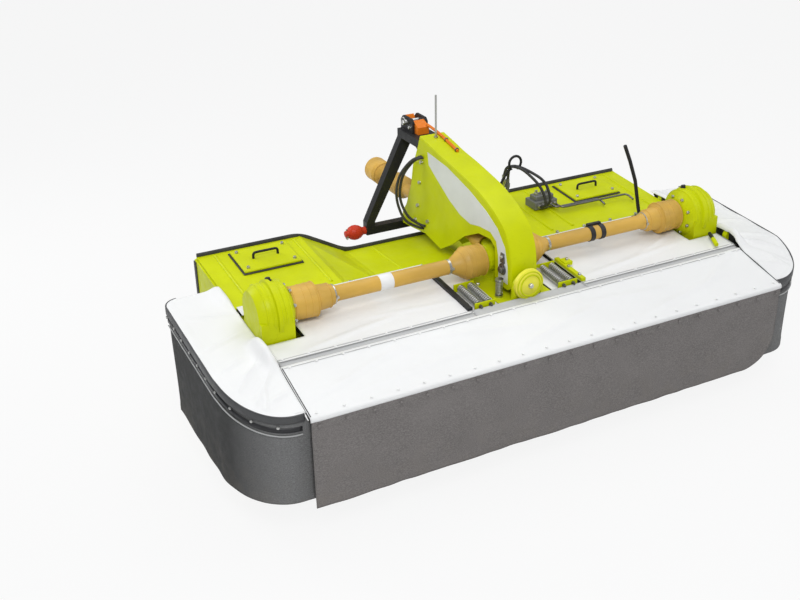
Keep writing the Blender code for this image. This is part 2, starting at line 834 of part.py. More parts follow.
def arm():
    """Welded arm: two cheeks with a cap over their top, open below for the drive shaft."""
    cheek = arm_top + arm_back + arm_belly
    shapes = []
    for _, side in sides:
        shapes.append(along("X", cheek, *span(side * arm_half_width, side * (arm_half_width - arm_wall))))
    cap = arm_top[1:]
    inner = []
    for before, point, after in zip([cap[0]] + cap, cap, cap[1:] + [cap[-1]]):
        way = (Vector(after) - Vector(before)).normalized()
        inner.append((point[0] + way.y * arm_wall, point[1] - way.x * arm_wall))
    half = arm_half_width - arm_wall / 2
    shapes.append(along("X", cap + inner[::-1], -half, half))
    reach = arm_half_width + overrun
    cuts = [rod((-reach, pitch_y, pitch_z), (reach, pitch_y, pitch_z), pitch_pin_radius + pin_gap)]
    return piece("arm", lime, shapes, cuts, origin=(0, pitch_y, pitch_z))


def headstock():
    """Black A-shaped hitch frame with two cheeks for the top link, welded to the rear of the arm."""
    y = (head_y - head_depth / 2, head_y + head_depth / 2)
    leg_y = (y[0] + joint_gap, y[1] - joint_gap)
    bar_height = leg_width * end_share
    shapes = [box((-head_foot_x, head_foot_x), y, (head_foot_low + joint_gap, head_foot_low + bar_height))]
    outer, inner = head_foot_x + leg_width / 2, head_foot_x - leg_width / 2
    for _, side in sides:
        outline = [
            (0, head_top), (side * cheek_out, head_top), (side * outer, hitch_pin_z + leg_width),
            (side * outer, head_foot_low), (side * inner, head_foot_low),
            (side * inner, hitch_pin_z + leg_width), (0, head_top - leg_width)]
        shapes.append(along("Y", outline, *leg_y))
        cheek = [
            (y[1] - 2 * joint_gap, head_top - leg_width), (y[1] - 2 * joint_gap, clevis_top - leg_width / 2),
            (y[1] - leg_width / 2, clevis_top), (clevis_front + leg_width / 3, clevis_top),
            (clevis_front, clevis_top - leg_width / 3), (clevis_front, head_top),
            (y[0], head_top - leg_width)]
        shapes.append(along("X", cheek, *span(side * cheek_in, side * (cheek_out - joint_gap))))
    (y_high, z_high), (y_low, z_low) = arm_top[-1], arm_back[0]
    rear = y[1] - 3 * joint_gap
    high = head_top - joint_gap
    y_front = y_high + (y_low - y_high) * (z_high - high) / (z_high - z_low)
    tongue = [(y_low + pin_gap, z_low), (rear, z_low), (rear, high), (y_front + pin_gap, high)]
    shapes.append(along("X", tongue, -arm_half_width, arm_half_width))
    return piece("headstock", black, shapes, origin=(0, head_y, head_foot_low))


def hitch_pins(word, side):
    """A lower link pin with its ball, on the foot of the headstock."""
    face = head_foot_x + leg_width / 2 + touch_gap
    start = (side * face, hitch_pin_y, hitch_pin_z)
    end = (side * hitch_pin_reach, hitch_pin_y, hitch_pin_z)
    length = hitch_pin_reach - face
    neck = hitch_pin_radius * neck_widening_share
    shoulder = hitch_ball_radius * shoulder_share
    radii = (neck, shoulder, hitch_ball_radius, hitch_ball_radius, shoulder, neck)
    profile = [(0, neck)] + [(length * share, radius) for share, radius in zip(ball_shares, radii)]
    profile.append((length, hitch_pin_radius))
    return piece(f"hitch_pin_{word}", red, [turned(start, end, profile)])


def top_hook():
    """Orange catch for the top link, between the cheeks of the headstock."""
    low = head_top + touch_gap
    half = cheek_in - touch_gap
    rear = head_y + head_depth / 2
    ahead, dip, lip = [catch_rise * share for share in catch_shares]
    catch = [
        (clevis_front - ahead, low), (rear, low), (rear, low + catch_rise), (head_y, low + dip),
        (clevis_front + lip, low + catch_rise), (clevis_front - ahead, low + ahead)]
    return piece("top_hook", orange, [along("X", catch, -half, half)])


def input_guard():
    """Guard of the shaft from the tractor: it runs inside the arm and ends behind the headstock."""
    front = input_front_y - input_lap
    length = input_rear_y - front
    bell = 2 * input_bell_radius
    head = head_y + head_depth - front
    middle = rear_bell_radius * end_share
    middle_end = head + rear_bell_radius * 2
    profile = [
        (0, input_bell_radius), (bell, input_bell_radius), (bell + input_radius, input_radius),
        (head, input_radius), (head + input_radius, middle), (middle_end, middle),
        (middle_end + input_radius, input_radius), (length - bell - input_radius * 3 / 2, input_radius),
        (length - bell, rear_bell_radius), (length, rear_bell_radius)]
    shapes = [turned((0, front, input_z), (0, input_rear_y, input_z), profile, 24)]
    hinge = (0, input_front_y, input_z)
    cup = input_bell_radius - arm_wall
    cuts = [rod((0, front - overrun, input_z), hinge, cup, 24), ball(hinge, input_ball + pin_gap)]
    return piece("input_guard", tan, shapes, cuts, origin=hinge)


# Fabric covers
def deck(word, side):
    front = fold_y + deck_front_gap
    rear = cover_front_y - joint_gap
    notch = gearbox_in - frame_wall / 2
    notch_front = gearbox_leg_front - frame_wall / 2
    notch_rear = gearbox_y + gearbox_radius + frame_wall / 2
    inner, outer = side * opening_half, side * seam_x
    outline = [
        (inner, front), (outer, front), (outer, notch_front), (side * notch, notch_front),
        (side * notch, notch_rear), (outer, notch_rear), (outer, rear), (inner, rear)]
    piece(f"deck_tarp_{word}", white, [draped(outline, tarp_wall)])
    half = frame_width / 2
    front = front_beam_y - frame_width
    across = span(inner, outer)
    rails = [bar(across, (front, front + frame_width)), bar(across, (rear - frame_width, rear))]
    rungs = []
    for near in (opening_half + joint_gap, notch - frame_width):
        rungs.append(bar(span(side * near, side * (near + frame_width)), (front + half, rear - half)))
    piece(f"deck_frame_{word}", black, ladder(rails, rungs, tarp_wall + touch_gap))


def flap():
    """Front flap: a frame, its fabric and the curtain along its front edge, hinged at the fold."""
    rear = fold_y - knuckle_radius - joint_gap
    outline = [(-seam_x, front_edge_y), (seam_x, front_edge_y), (seam_x, rear), (-seam_x, rear)]
    origin = (0, fold_y, flap_axis_z)
    piece("flap_tarp", white, [draped(outline, tarp_wall)], origin=origin)
    drop = tarp_wall + touch_gap
    half = frame_width / 2
    back = fold_y - 2 * knuckle_radius + knuckle_radius * tab_shares[1]
    front = front_edge_y + 2 * curtain_wall
    across = (-seam_x, seam_x)
    rails = [bar(across, (front, front + frame_width)), bar(across, (back - frame_width, back))]
    end = seam_x - half - joint_gap
    places = (-end, -end / 2, 0, end / 2, end)
    rungs = [bar((x - half, x + half), (front + half, back - half)) for x in places]
    shapes = ladder(rails, rungs, drop)
    cuts = []
    for x in flap_hinge_xs:
        for sign in (-1, 1):
            near = x + sign * (knuckle_length / 4 + joint_gap)
            far = x + sign * knuckle_length
            shapes.append(rod((near, fold_y, flap_axis_z), (far, fold_y, flap_axis_z), knuckle_radius))
            tab_x = span(near + sign * joint_gap, far - sign * joint_gap)
            tab_z = [flap_axis_z - knuckle_radius * share for share in tab_shares]
            shapes.append(box(tab_x, (back - half, fold_y), tab_z))
        start, end = x - 2 * knuckle_length, x + 2 * knuckle_length
        hole = hinge_pin_radius + pin_gap
        cuts.append(rod((start, fold_y, flap_axis_z), (end, fold_y, flap_axis_z), hole, 12))
    piece("flap_frame", black, shapes, cuts, origin=origin)
    top = front_edge_z - tarp_wall - touch_gap
    corner = arc((seam_x - curtain_corner, curtain_low + curtain_corner), curtain_corner, 270, 360, 6)
    face = [(-seam_x, top), (-seam_x, curtain_low)] + corner + [(seam_x, top)]
    piece("flap_curtain", grey, [along("Y", face, front_edge_y, front_edge_y + curtain_wall)], origin=origin)


def side_outline(inset=0.0):
    """Plan of a side cover's outer edge on the right, from its front inner corner round to its rear."""
    front = front_edge_y + side_front_set + inset
    outer = side_half_width - inset
    reach_x = side_corner_x - inset
    reach_y = side_corner_y - inset
    rear = side_rear_y - inset
    quarter = arc((0, 0), 1, 270, 360, 8)
    corner = [(outer - reach_x + reach_x * u, front + reach_y + reach_y * v) for u, v in quarter]
    heel = arc((outer - reach_x / 4, rear - reach_x / 4), reach_x / 4, 0, 90, 3)
    return corner + heel


def side_cover(word, side):
    """Side cover: a frame, its fabric and its curtain round the corner, hinged along the body's end."""
    origin = (side * side_hinge_x, 0, side_hinge_z)
    inner_front = seam_x + seam_gap
    inner_rear = side_hinge_x + knuckle_radius + touch_gap + joint_gap
    step = front_beam_y - plate_front_margin - 2 * joint_gap * 5
    edge = side_outline()
    outline = edge + [
        (inner_rear, side_rear_y), (inner_rear, step), (inner_front, step),
        (inner_front, front_edge_y + side_front_set)]
    piece(f"side_tarp_{word}", white, [draped(outline, tarp_wall, folds=[fold_y])], (), origin, side)
    drop = tarp_wall + touch_gap
    inset = 2 * curtain_wall
    front = front_edge_y + side_front_set + inset
    rear = side_rear_y - inset
    rim = [(inner_front, front)] + side_outline(inset) + [(inner_rear, rear)]
    inside = [(inner_front, front + frame_width)] + side_outline(inset + frame_width)
    inside.append((inner_rear, rear - frame_width))
    rungs = [bar((inner_front + joint_gap, inner_front + frame_width), (front + frame_width / 2, step))]
    shapes = []
    cuts = []
    outer = side_half_width - inset - frame_width / 2
    for y in side_hinge_ys:
        for sign in (-1, 1):
            near = y + sign * (knuckle_length / 4 + joint_gap)
            far = y + sign * knuckle_length
            ys = span(near, far)
            rungs.append(bar((inner_rear, outer), (ys[0] + joint_gap, ys[1] - joint_gap)))
            shapes.append(rod(
                (side_hinge_x, near, side_hinge_z), (side_hinge_x, far, side_hinge_z), knuckle_radius))
            fall, inward, outward, lift = web_shares
            low = deck_z(y) - drop - frame_wall * fall
            stem = (side_hinge_x - knuckle_radius * inward, side_hinge_x + knuckle_radius * outward)
            web = [
                (stem[0], side_hinge_z),
                (stem[0], low),
                (inner_rear + 3 * knuckle_radius, low),
                (inner_rear + 3 * knuckle_radius, low + frame_wall * lift),
                (stem[1], low + frame_wall * lift),
                (stem[1], side_hinge_z),
            ]
            shapes.append(along("Y", web, ys[0] + 2 * joint_gap, ys[1] - 2 * joint_gap))
        start, end = y - 2 * knuckle_length, y + 2 * knuckle_length
        hole = hinge_pin_radius + pin_gap
        cuts.append(rod((side_hinge_x, start, side_hinge_z), (side_hinge_x, end, side_hinge_z), hole, 12))
    shapes = ladder([rim + inside[::-1]], rungs, drop, [fold_y]) + shapes
    piece(f"side_frame_{word}", black, shapes, cuts, origin, side)
    path = [(inner_front, front_edge_y + side_front_set)] + edge[:-3]
    hang = ribbon(path, curtain_wall, side_curtain_low, lambda y: deck_z(y) - tarp_wall - touch_gap)
    piece(f"side_curtain_{word}", grey, [hang], (), origin, side)


# Swath boards and parking legs
def swath_board(word, side):
    """A steel board behind the conditioner that narrows the swath, on an upright pin."""
    x = side * board_x
    toe = side * (board_x - board_toe)
    wall = side * board_wall
    y = board_y
    outline = [(x, y), (x + wall, y), (toe + wall, y + board_length), (toe, y + board_length)]
    shapes = [along("Z", outline, board_low, board_high),
              rod((x, y, board_low), (x, y, board_high + board_pin_radius), board_pin_radius)]
    piece(f"swath_board_{word}", steel, shapes, origin=(x, y, board_high))


def parking_leg(word, side):
    """A leg that swings up behind the machine: its foot stands ahead of the pin, so weight locks it."""
    x = side * leg_x
    half = leg_size / 2
    foot_y = leg_hinge_y - foot_ahead
    corners = ((-half, -half), (half, -half), (half, half), (-half, half))
    top = [(x + a, leg_hinge_y + b, leg_hinge_z + half) for a, b in corners]
    bottom = [(a, b - foot_ahead, foot_wall / 2) for a, b, _ in top]
    wide = foot_size / 2
    foot = box((x - wide, x + wide), (foot_y - wide, foot_y + wide), (0, foot_wall))
    shapes = [loft([top, bottom]), foot]
    hole = leg_pin_radius + pin_gap
    cuts = [rod((x - leg_size, leg_hinge_y, leg_hinge_z), (x + leg_size, leg_hinge_y, leg_hinge_z), hole)]
    piece(f"parking_leg_{word}", black, shapes, cuts, origin=(x, leg_hinge_y, leg_hinge_z))


# Small fittings
def hose_holder():
    """Bent rod on the hood's middle, with an open loop that holds the hoses."""
    share = (hose_y - fitting_foot - cover_front_y) / (cover_rear_y - cover_front_y)
    hood = centre_front_z + (centre_rear_z - centre_front_z) * share
    foot = hood + touch_gap
    base = shoulder_right_x - shoulder_run - fitting_foot - hose_foot_margin
    loop = arc(hose_loop, hose_loop_radius, hose_loop_first, hose_loop_last, 14)
    path = [(base + x, z) for x, z in [(0, foot)] + hose_path + loop]
    half = fitting_foot
    shapes = [
        bent([(x, hose_y, z) for x, z in path], (0, 1, 0), fitting_radius),
        box((base - half, base + half), (hose_y - half, hose_y + half), (foot, foot + fitting_wall))]
    piece("hose_holder", black, shapes)


def adjust_lever():
    """Bent lever on a small plate, on the right of the deck."""
    x = disc_ends_x - lever_inset
    low = deck_z(rear_beam_y) + fitting_wall / 2
    path = [(x, rear_beam_y, low)] + [(x - back, rear_beam_y, low + rise) for back, rise in lever_path]
    half = fitting_foot
    plate = bar((x - half * foot_share, x + half), (rear_beam_y - half, rear_beam_y + half))
    shapes = [bent(path, (0, 1, 0), lever_radius), draped(plate, fitting_wall, -fitting_wall - touch_gap)]
    piece("adjust_lever", black, shapes)


def marker_rod():
    """Thin upright rod on the arm's crown, with a small foot."""
    (y_low, z_low), (y_high, z_high) = arm_top[-2:]
    highest = marker_y + 2 * marker_radius
    foot = z_low + (z_high - z_low) * (highest - y_low) / (y_high - y_low) + touch_gap
    shapes = [
        rod((0, marker_y, foot), (0, marker_y, foot + marker_length), marker_radius, 12),
        rod((0, marker_y, foot), (0, marker_y, foot + fitting_wall), 2 * marker_radius, 12)]
    piece("marker_rod", steel, shapes)


def relief_springs():
    """Upright springs beside the pivot, each drawn as a sleeve between two flanges."""
    foot = front_top + 2 * touch_gap + base_wall
    for word, side in sides:
        x = side * spring_x
        radii = (spring_flange, spring_radius, spring_radius, spring_flange)
        profile = [(0, spring_flange)]
        profile += [(spring_height * share, radius) for share, radius in zip(flange_shares, radii)]
        profile.append((spring_height, spring_flange))
        spring = turned((x, spring_y, foot), (x, spring_y, foot + spring_height), profile, 16)
        piece(f"relief_spring_{word}", steel, [spring])


cutterbar()
for index, place in enumerate(disc_places()):
    cutting_disc(index, place)
beams()
hood_shell()
hood_cover()
rotor()
centre_gearbox()
cradle()
pivot_drum()
pivot_block()
arm()
headstock()
top_hook()
input_guard()
flap()
hose_holder()
adjust_lever()
marker_rod()
relief_springs()
for word, side in sides:
    end_plate(word, side)
    end_gearbox(word, side)
    shaft_guard(word, side)
    hitch_pins(word, side)
    deck(word, side)
    side_cover(word, side)
    swath_board(word, side)
    parking_leg(word, side)
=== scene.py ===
"""Looks of a front disc mower conditioner: fabric covers, lacquer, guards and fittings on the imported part.
"""

import math

import bpy
import numpy as np
from mathutils import Matrix, Vector


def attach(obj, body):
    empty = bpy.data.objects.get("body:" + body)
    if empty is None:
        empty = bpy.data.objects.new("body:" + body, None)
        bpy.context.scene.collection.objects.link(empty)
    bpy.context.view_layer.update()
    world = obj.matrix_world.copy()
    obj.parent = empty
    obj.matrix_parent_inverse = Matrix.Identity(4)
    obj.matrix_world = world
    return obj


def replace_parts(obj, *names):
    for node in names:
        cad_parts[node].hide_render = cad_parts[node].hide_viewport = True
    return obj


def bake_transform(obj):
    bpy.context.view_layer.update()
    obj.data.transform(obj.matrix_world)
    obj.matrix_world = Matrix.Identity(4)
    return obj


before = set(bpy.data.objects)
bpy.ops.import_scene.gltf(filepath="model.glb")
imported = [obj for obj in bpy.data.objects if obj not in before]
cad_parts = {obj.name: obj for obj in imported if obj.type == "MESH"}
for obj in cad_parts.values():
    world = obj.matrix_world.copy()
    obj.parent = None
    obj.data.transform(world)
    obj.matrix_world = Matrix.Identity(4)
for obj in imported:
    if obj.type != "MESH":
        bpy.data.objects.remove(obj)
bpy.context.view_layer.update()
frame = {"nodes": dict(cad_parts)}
nodes = frame["nodes"]
sides = (("left", -1), ("right", 1))

# Camera: the photograph's viewpoint
eye = Vector((-2.847, -4.922, 3.275))
camera_yaw = math.radians(28.476)
camera_pitch = math.radians(26.410)
camera_roll = math.radians(-0.29)
lens_mm = 49.14
shift_across = -0.042
shift_up = -0.0059

# Covers, in metres, as in the part
fold_y = -0.745
fold_z = 0.750
front_edge_y = -1.105
front_edge_z = 0.660
deck_slope = 0.070
seam_x = 1.390
seam_gap = 0.014
opening_half = 0.340
deck_front = -0.725
deck_rear = -0.161
notch_x = 1.189
notch_front = -0.563
notch_rear = -0.249
side_half_width = 1.700
side_corner_x = 0.270
side_corner_y = 0.380
side_rear_y = 0.060
side_front_y = -1.060
side_hinge_x = 1.425
hinge_places = (-0.620, -0.020)
hinge_top = 0.8225
curtain_low = 0.175
curtain_corner = 0.200
side_curtain_low = 0.195
cloth_wall = 0.0024
cloth_drop = 0.002
crease_scale = 1.4
curtain_wall = 0.004
hem_width = 0.035
hem_rise = 0.0016

# Drive line, as in the part
disc_line_y = -0.400
disc_pitch = 0.425
knife_reach = 0.158
shaft_z = 0.865
guard_radius = 0.040
input_z = 0.885
gearbox_in = 1.1997
gearbox_y = -0.412
hood_rear = 0.453


def deck_z(y):
    """Top of the covers: fold height plus a slope times the distance behind the fold, a steeper one before
    it.
    """
    y = np.asarray(y, float)
    front = (fold_z - front_edge_z) / (fold_y - front_edge_y)
    return fold_z + (y - fold_y) * np.where(y >= fold_y, deck_slope, front)


# Meshes
def surface(points, wrap=False):
    """A grid of points as quads: cell (i, j) joins rows i and i + 1 with columns j and j + 1.

    Wrap joins the last column to the first.
    """
    points = np.asarray(points, float)
    rows, wide = points.shape[:2]
    index = np.arange(rows * wide).reshape(rows, wide)
    if wrap:
        index = np.hstack([index, index[:, :1]])
    quads = np.stack([index[:-1, :-1], index[:-1, 1:], index[1:, 1:], index[1:, :-1]], -1)
    return points.reshape(-1, 3), quads.reshape(-1, 4).tolist()


def columns(*parts):
    """Points from their coordinates: numbers and arrays, stretched to one shape."""
    return np.stack(np.broadcast_arrays(*parts), -1).astype(float)


def on_side(shell, side):
    """The shell as made on the right, or mirrored to the left: x times -1, and each face turned over."""
    points, faces = shell
    return shell if side > 0 else (points * (-1, 1, 1), [face[::-1] for face in faces])


def capped(points):
    """A closed skin on rings of points, one ring a row.

    The rings are turned round if their area vectors face back along the row.
    """
    points = np.asarray(points, float)
    centre = points.mean(1, keepdims=True)
    area = np.cross(points - centre, np.roll(points - centre, -1, axis=1)).sum(1)
    if ((area[:-1] + area[1:]) * np.diff(centre[:, 0], axis=0)).sum() < 0:
        points = points[:, ::-1]
    places, faces = surface(points, wrap=True)
    around = points.shape[1]
    count = len(places)
    return places, faces + [list(range(around))[::-1], list(range(count - around, count))]


def joined(shells):
    """Several shells as one: each one's face numbers rise by the count of the points before it."""
    places, faces, start = [], [], 0
    for points, quads in shells:
        places.append(points)
        faces += [[start + i for i in face] for face in quads]
        start += len(points)
    return np.concatenate(places), faces


def directions(path, closed=False):
    """Unit direction at each point of a path: its two neighbours' difference over that difference's length.
    """
    if closed:
        way = np.roll(path, -1, axis=0) - np.roll(path, 1, axis=0)
    else:
        way = np.gradient(path, axis=0)
    return way / np.linalg.norm(way, axis=1, keepdims=True)


def swept(path, radius, sides=12, up=(0, 0, 1), closed=False, flat=1.0, way=None):
    """Circle carried along a path: point + radius (cos a · across + flat · sin a · over).

    Across is direction × up, and over is direction × across.
    """
    path = np.asarray(path, float)
    way = directions(path, closed) if way is None else np.broadcast_to(way, path.shape)
    across = np.cross(way, up)
    across /= np.linalg.norm(across, axis=1, keepdims=True)
    over = np.cross(way, across)
    angle = (2 * np.pi * np.arange(sides) / sides)[:, None]
    radius = np.broadcast_to(np.asarray(radius, float), len(path))[:, None, None]
    turn = np.cos(angle) * across[:, None] + flat * np.sin(angle) * over[:, None]
    points = path[:, None] + radius * turn
    if not closed:
        return capped(points)
    places, faces = surface(np.concatenate([points, points[:1]]), wrap=True)
    count = len(path) * sides
    return places[:count], [[i % count for i in face] for face in faces]


def turned(start, way, profile, sides=32):
    """Solid of revolution: circles of each radius at each distance from start along the way."""
    way = np.asarray(way, float) / np.linalg.norm(way)
    up = (1, 0, 0) if abs(way[0]) < 0.9 else (0, 0, 1)
    distance, radius = np.array(profile, float).T
    return swept(np.asarray(start, float) + distance[:, None] * way, radius, sides, up, way=way)


def prism(axis, outline, low, high):
    """An outline in the two other axes, carried along one axis from low to high."""
    outline = np.asarray(outline, float)
    order = {"X": (2, 0, 1), "Y": (0, 2, 1), "Z": (0, 1, 2)}[axis]
    rings = [np.column_stack([outline, np.full(len(outline), level)])[:, order] for level in (low, high)]
    return capped(np.array(rings))


def block(x, y, z):
    """A block between two x, two y and two z values."""
    return prism("Z", [(x[0], y[0]), (x[1], y[0]), (x[1], y[1]), (x[0], y[1])], *z)


def hoop(centre, axis, radius, wire, sides=48):
    """Torus: a small circle carried round a large one that lies across the axis."""
    axis = np.asarray(axis, float) / np.linalg.norm(axis)
    first = np.cross(axis, (0, 0, 1) if abs(axis[2]) < 0.9 else (1, 0, 0))
    first /= np.linalg.norm(first)
    second = np.cross(axis, first)
    angle = (2 * np.pi * np.arange(sides) / sides)[:, None]
    path = np.asarray(centre) + radius * (np.cos(angle) * first + np.sin(angle) * second)
    return swept(path, wire, 12, axis, closed=True)


def coil(start, end, radius, wire, turns):
    """Helix: a point that circles the line from start to end at one radius while it climbs evenly."""
    start, end = np.asarray(start, float), np.asarray(end, float)
    share = np.linspace(0, 1, 16 * turns + 1)[:, None]
    way = (end - start) / np.linalg.norm(end - start)
    first = np.cross(way, (1, 0, 0) if abs(way[0]) < 0.9 else (0, 1, 0))
    first /= np.linalg.norm(first)
    second = np.cross(way, first)
    angle = 2 * np.pi * turns * share
    path = start + (end - start) * share + radius * (np.cos(angle) * first + np.sin(angle) * second)
    return swept(path, wire, 8, way)


def rounded_path(corners, radius, steps=6):
    """A polyline with each corner turned into a curve: (1-t)² · before + 2t(1-t) · corner + t² · after."""
    corners = np.asarray(corners, float)
    rows = [corners[:1]]
    share = np.linspace(0, 1, steps)[:, None]
    for before, corner, after in zip(corners, corners[1:], corners[2:]):
        near = [corner + (other - corner) * min(0.45, radius / np.linalg.norm(other - corner))
            for other in (before, after)]
        rows.append((1 - share) ** 2 * near[0] + 2 * share * (1 - share) * corner + share ** 2 * near[1])
    rows.append(corners[-1:])
    return np.concatenate(rows)


def smooth_curve(corners, count):
    """Curve through every corner: cubic stretches whose slope at each corner is (next - previous) / 2."""
    ends = np.vstack([2 * corners[0] - corners[1], corners, 2 * corners[-1] - corners[-2]])
    at = np.linspace(0, len(corners) - 1.0001, count)
    k = at.astype(int)
    t = (at - k)[:, None]
    a, b, c, d = ends[k], ends[k + 1], ends[k + 2], ends[k + 3]
    square, cube = 2 * a - 5 * b + 4 * c - d, 3 * b - a - 3 * c + d
    return 0.5 * (2 * b + (c - a) * t + square * t ** 2 + cube * t ** 3)


def bolts(places, axis, across, height=0.009):
    """Hexagon heads on washers: one small turned form, added to each place."""
    radius = across / 2
    rim = 1.15 * radius
    axis = np.asarray(axis, float) / np.linalg.norm(axis)
    washer = turned((0, 0, 0), axis, [(0, rim), (0.002, rim), (0.0021, 0.98 * radius)], 16)
    head = [(0, 1.1 * radius), (0.8 * height, 1.1 * radius), (height, 0.9 * radius)]
    form, faces = joined([washer, turned(axis * 0.002, axis, head, 6)])
    places = np.asarray(places, float).reshape(-1, 1, 3)
    count = len(form)
    numbers = [[i + k * count for i in face] for k in range(len(places)) for face in faces]
    return (places + form).reshape(-1, 3), numbers


def placed(name, data):
    """A new object in the scene."""
    made = bpy.data.objects.new(name, data)
    bpy.context.scene.collection.objects.link(made)
    return made


def piece(name, shells, paint, body="mower", bevel=0.0, smooth=True, uv=None, wall=0.0):
    """A painted mesh object from shells, riding on a body. Wall thickens a sheet, bevel rounds edges."""
    places, faces = joined(shells) if isinstance(shells, list) else shells
    mesh = bpy.data.meshes.new(name)
    mesh.from_pydata(places.tolist(), [], faces)
    mesh.materials.append(paint)
    mesh.shade_smooth() if smooth else mesh.shade_flat()
    if uv is not None:
        corner = np.empty(len(mesh.loops), np.int32)
        mesh.loops.foreach_get("vertex_index", corner)
        mesh.uv_layers.new(name="UVMap").data.foreach_set("uv", np.asarray(uv, np.float32)[corner].ravel())
    made = placed(name, mesh)
    if wall:
        skin = made.modifiers.new("wall", "SOLIDIFY")
        skin.thickness = wall
        skin.offset = -1
    if bevel:
        edge = made.modifiers.new("edges", "BEVEL")
        edge.width = bevel
        edge.segments = 2
        edge.limit_method = "ANGLE"
        edge.angle_limit = math.radians(35)
    if smooth and uv is None:
        mesh.set_sharp_from_angle(angle=math.radians(40))
    if body:
        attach(made, body)
    return made


def bolted(name, places, axis, across, height=0.009, paint=None, body="mower"):
    """One piece of hexagon bolts, in bright steel unless a paint is given."""
    piece(name, bolts(places, axis, across, height), paint or steel_bright, body)


# Materials
class Finish:
    """A material in the making: its shader, and short calls that add a node and join it up."""

    def __init__(self, name, colour, roughness, **sockets):
        self.made = bpy.data.materials.new(name)
        self.made.use_nodes = True
        self.tree = self.made.node_tree
        self.shader = self.tree.nodes["Principled BSDF"]
        self.roughness = roughness
        sockets |= {"Base_Color": (*colour, 1), "Roughness": roughness}
        for socket, value in sockets.items():
            self.shader.inputs[socket.replace("_", " ")].default_value = value
        self.place = self.tree.nodes.new("ShaderNodeTexCoord")

    def node(self, kind, **inputs):
        made = self.tree.nodes.new(kind)
        for name, value in inputs.items():
            self.feed(made.inputs[name.replace("_", " ")], value)
        return made

    def feed(self, socket, value):
        if isinstance(value, bpy.types.NodeSocket):
            self.tree.links.new(value, socket)
        else:
            socket.default_value = value

    def noise(self, scale, detail, stretch=(1, 1, 1)):
        """Noise over the object's own coordinates, finer along an axis where its stretch is higher."""
        place = self.node("ShaderNodeMapping", Vector=self.place.outputs["Object"], Scale=stretch)
        made = self.node("ShaderNodeTexNoise", Vector=place.outputs[0], Scale=scale, Detail=detail)
        return made.outputs["Fac"]

    def bands(self, scale, direction, distortion=0.0):
        made = self.node("ShaderNodeTexWave", Vector=self.place.outputs["UV"], Scale=scale,
            Distortion=distortion)
        made.bands_direction = direction
        return made.outputs["Fac"]

    def remapped(self, value, low, high, to_low=0.0, to_high=1.0):
        made = self.node("ShaderNodeMapRange", From_Min=low, From_Max=high, To_Min=to_low, To_Max=to_high)
        self.feed(made.inputs["Value"], value)
        return made.outputs["Result"]

    def cloud(self, scale, detail, low, high, stretch=(1, 1, 1)):
        """Share from noise: 0 where it is under low, 1 where it is over high."""
        return self.remapped(self.noise(scale, detail, stretch), low, high)

    def maths(self, operation, first, second):
        made = self.node("ShaderNodeMath")
        made.operation = operation
        self.feed(made.inputs[0], first)
        self.feed(made.inputs[1], second)
        return made.outputs["Value"]

    def times(self, first, second):
        return self.maths("MULTIPLY", first, second)

    def mixed(self, share, first, second):
        made = self.node("ShaderNodeMix")
        made.data_type = "RGBA"
        for socket, value in ((0, share), (6, first), (7, second)):
            value = (*value, 1) if isinstance(value, tuple) else value
            self.feed(made.inputs[socket], value)
        return made.outputs[2]

    def part(self, space, axis):
        """One coordinate of the place or of the surface's normal."""
        return self.node("ShaderNodeSeparateXYZ", Vector=self.place.outputs[space]).outputs[axis]

    def facing_up(self):
        """Share from 0 on a wall to 1 on a level top."""
        return self.remapped(self.part("Normal", "Z"), 0.2, 0.95)

    def low_down(self, low, high):
        """Share that falls from 1 at the low height to 0 at the high one."""
        return self.remapped(self.part("Object", "Z"), low, high, 1, 0)

    def tint(self, share, first, second):
        self.feed(self.shader.inputs["Base Color"], self.mixed(share, first, second))

    def rough(self, scale, detail, below, above, high=0.7):
        """Roughness that noise moves between so much below the finish's own and so much above it."""
        ends = self.roughness - below, self.roughness + above
        self.feed(self.shader.inputs["Roughness"],
            self.remapped(self.noise(scale, detail), 0.3, high, *ends))

    def bump(self, value, strength, distance=0.0006):
        made = self.node("ShaderNodeBump", Height=value, Strength=strength, Distance=distance)
        self.feed(self.shader.inputs["Normal"], made.outputs["Normal"])


def shade(colour, share, more=0.0):
    """The colour times a share, and a little more."""
    return tuple(share * part + more for part in colour)


def lacquer(name, colour, roughness=0.40, dust=0.10, wear=0.25, coat=0.03):
    """Sprayed enamel: faint mottling, orange-peel, dust on level tops and low down, small dull scuffs."""
    paint = Finish(name, colour, roughness, Coat_Weight=coat, Coat_Roughness=0.2, Specular_IOR_Level=0.14)
    mottled = paint.mixed(paint.cloud(5, 3, 0.3, 0.7), shade(colour, 0.92), shade(colour, 1.05))
    scuffs = paint.times(paint.cloud(60, 6, 0.62, 0.72, (1, 3, 1)), wear)
    worn = paint.mixed(scuffs, mottled, shade(colour, 0.55))
    film = paint.times(paint.cloud(9, 6, 0.42, 0.75), paint.facing_up())
    low = paint.times(paint.low_down(0.05, 0.55), paint.cloud(14, 5, 0.35, 0.7))
    paint.tint(paint.times(paint.maths("MAXIMUM", film, low), dust), worn, shade(colour, 0.75, 0.07))
    paint.rough(22, 4, 0.07, 0.16, 0.75)
    paint.bump(paint.noise(420, 2), 0.12)
    return paint.made


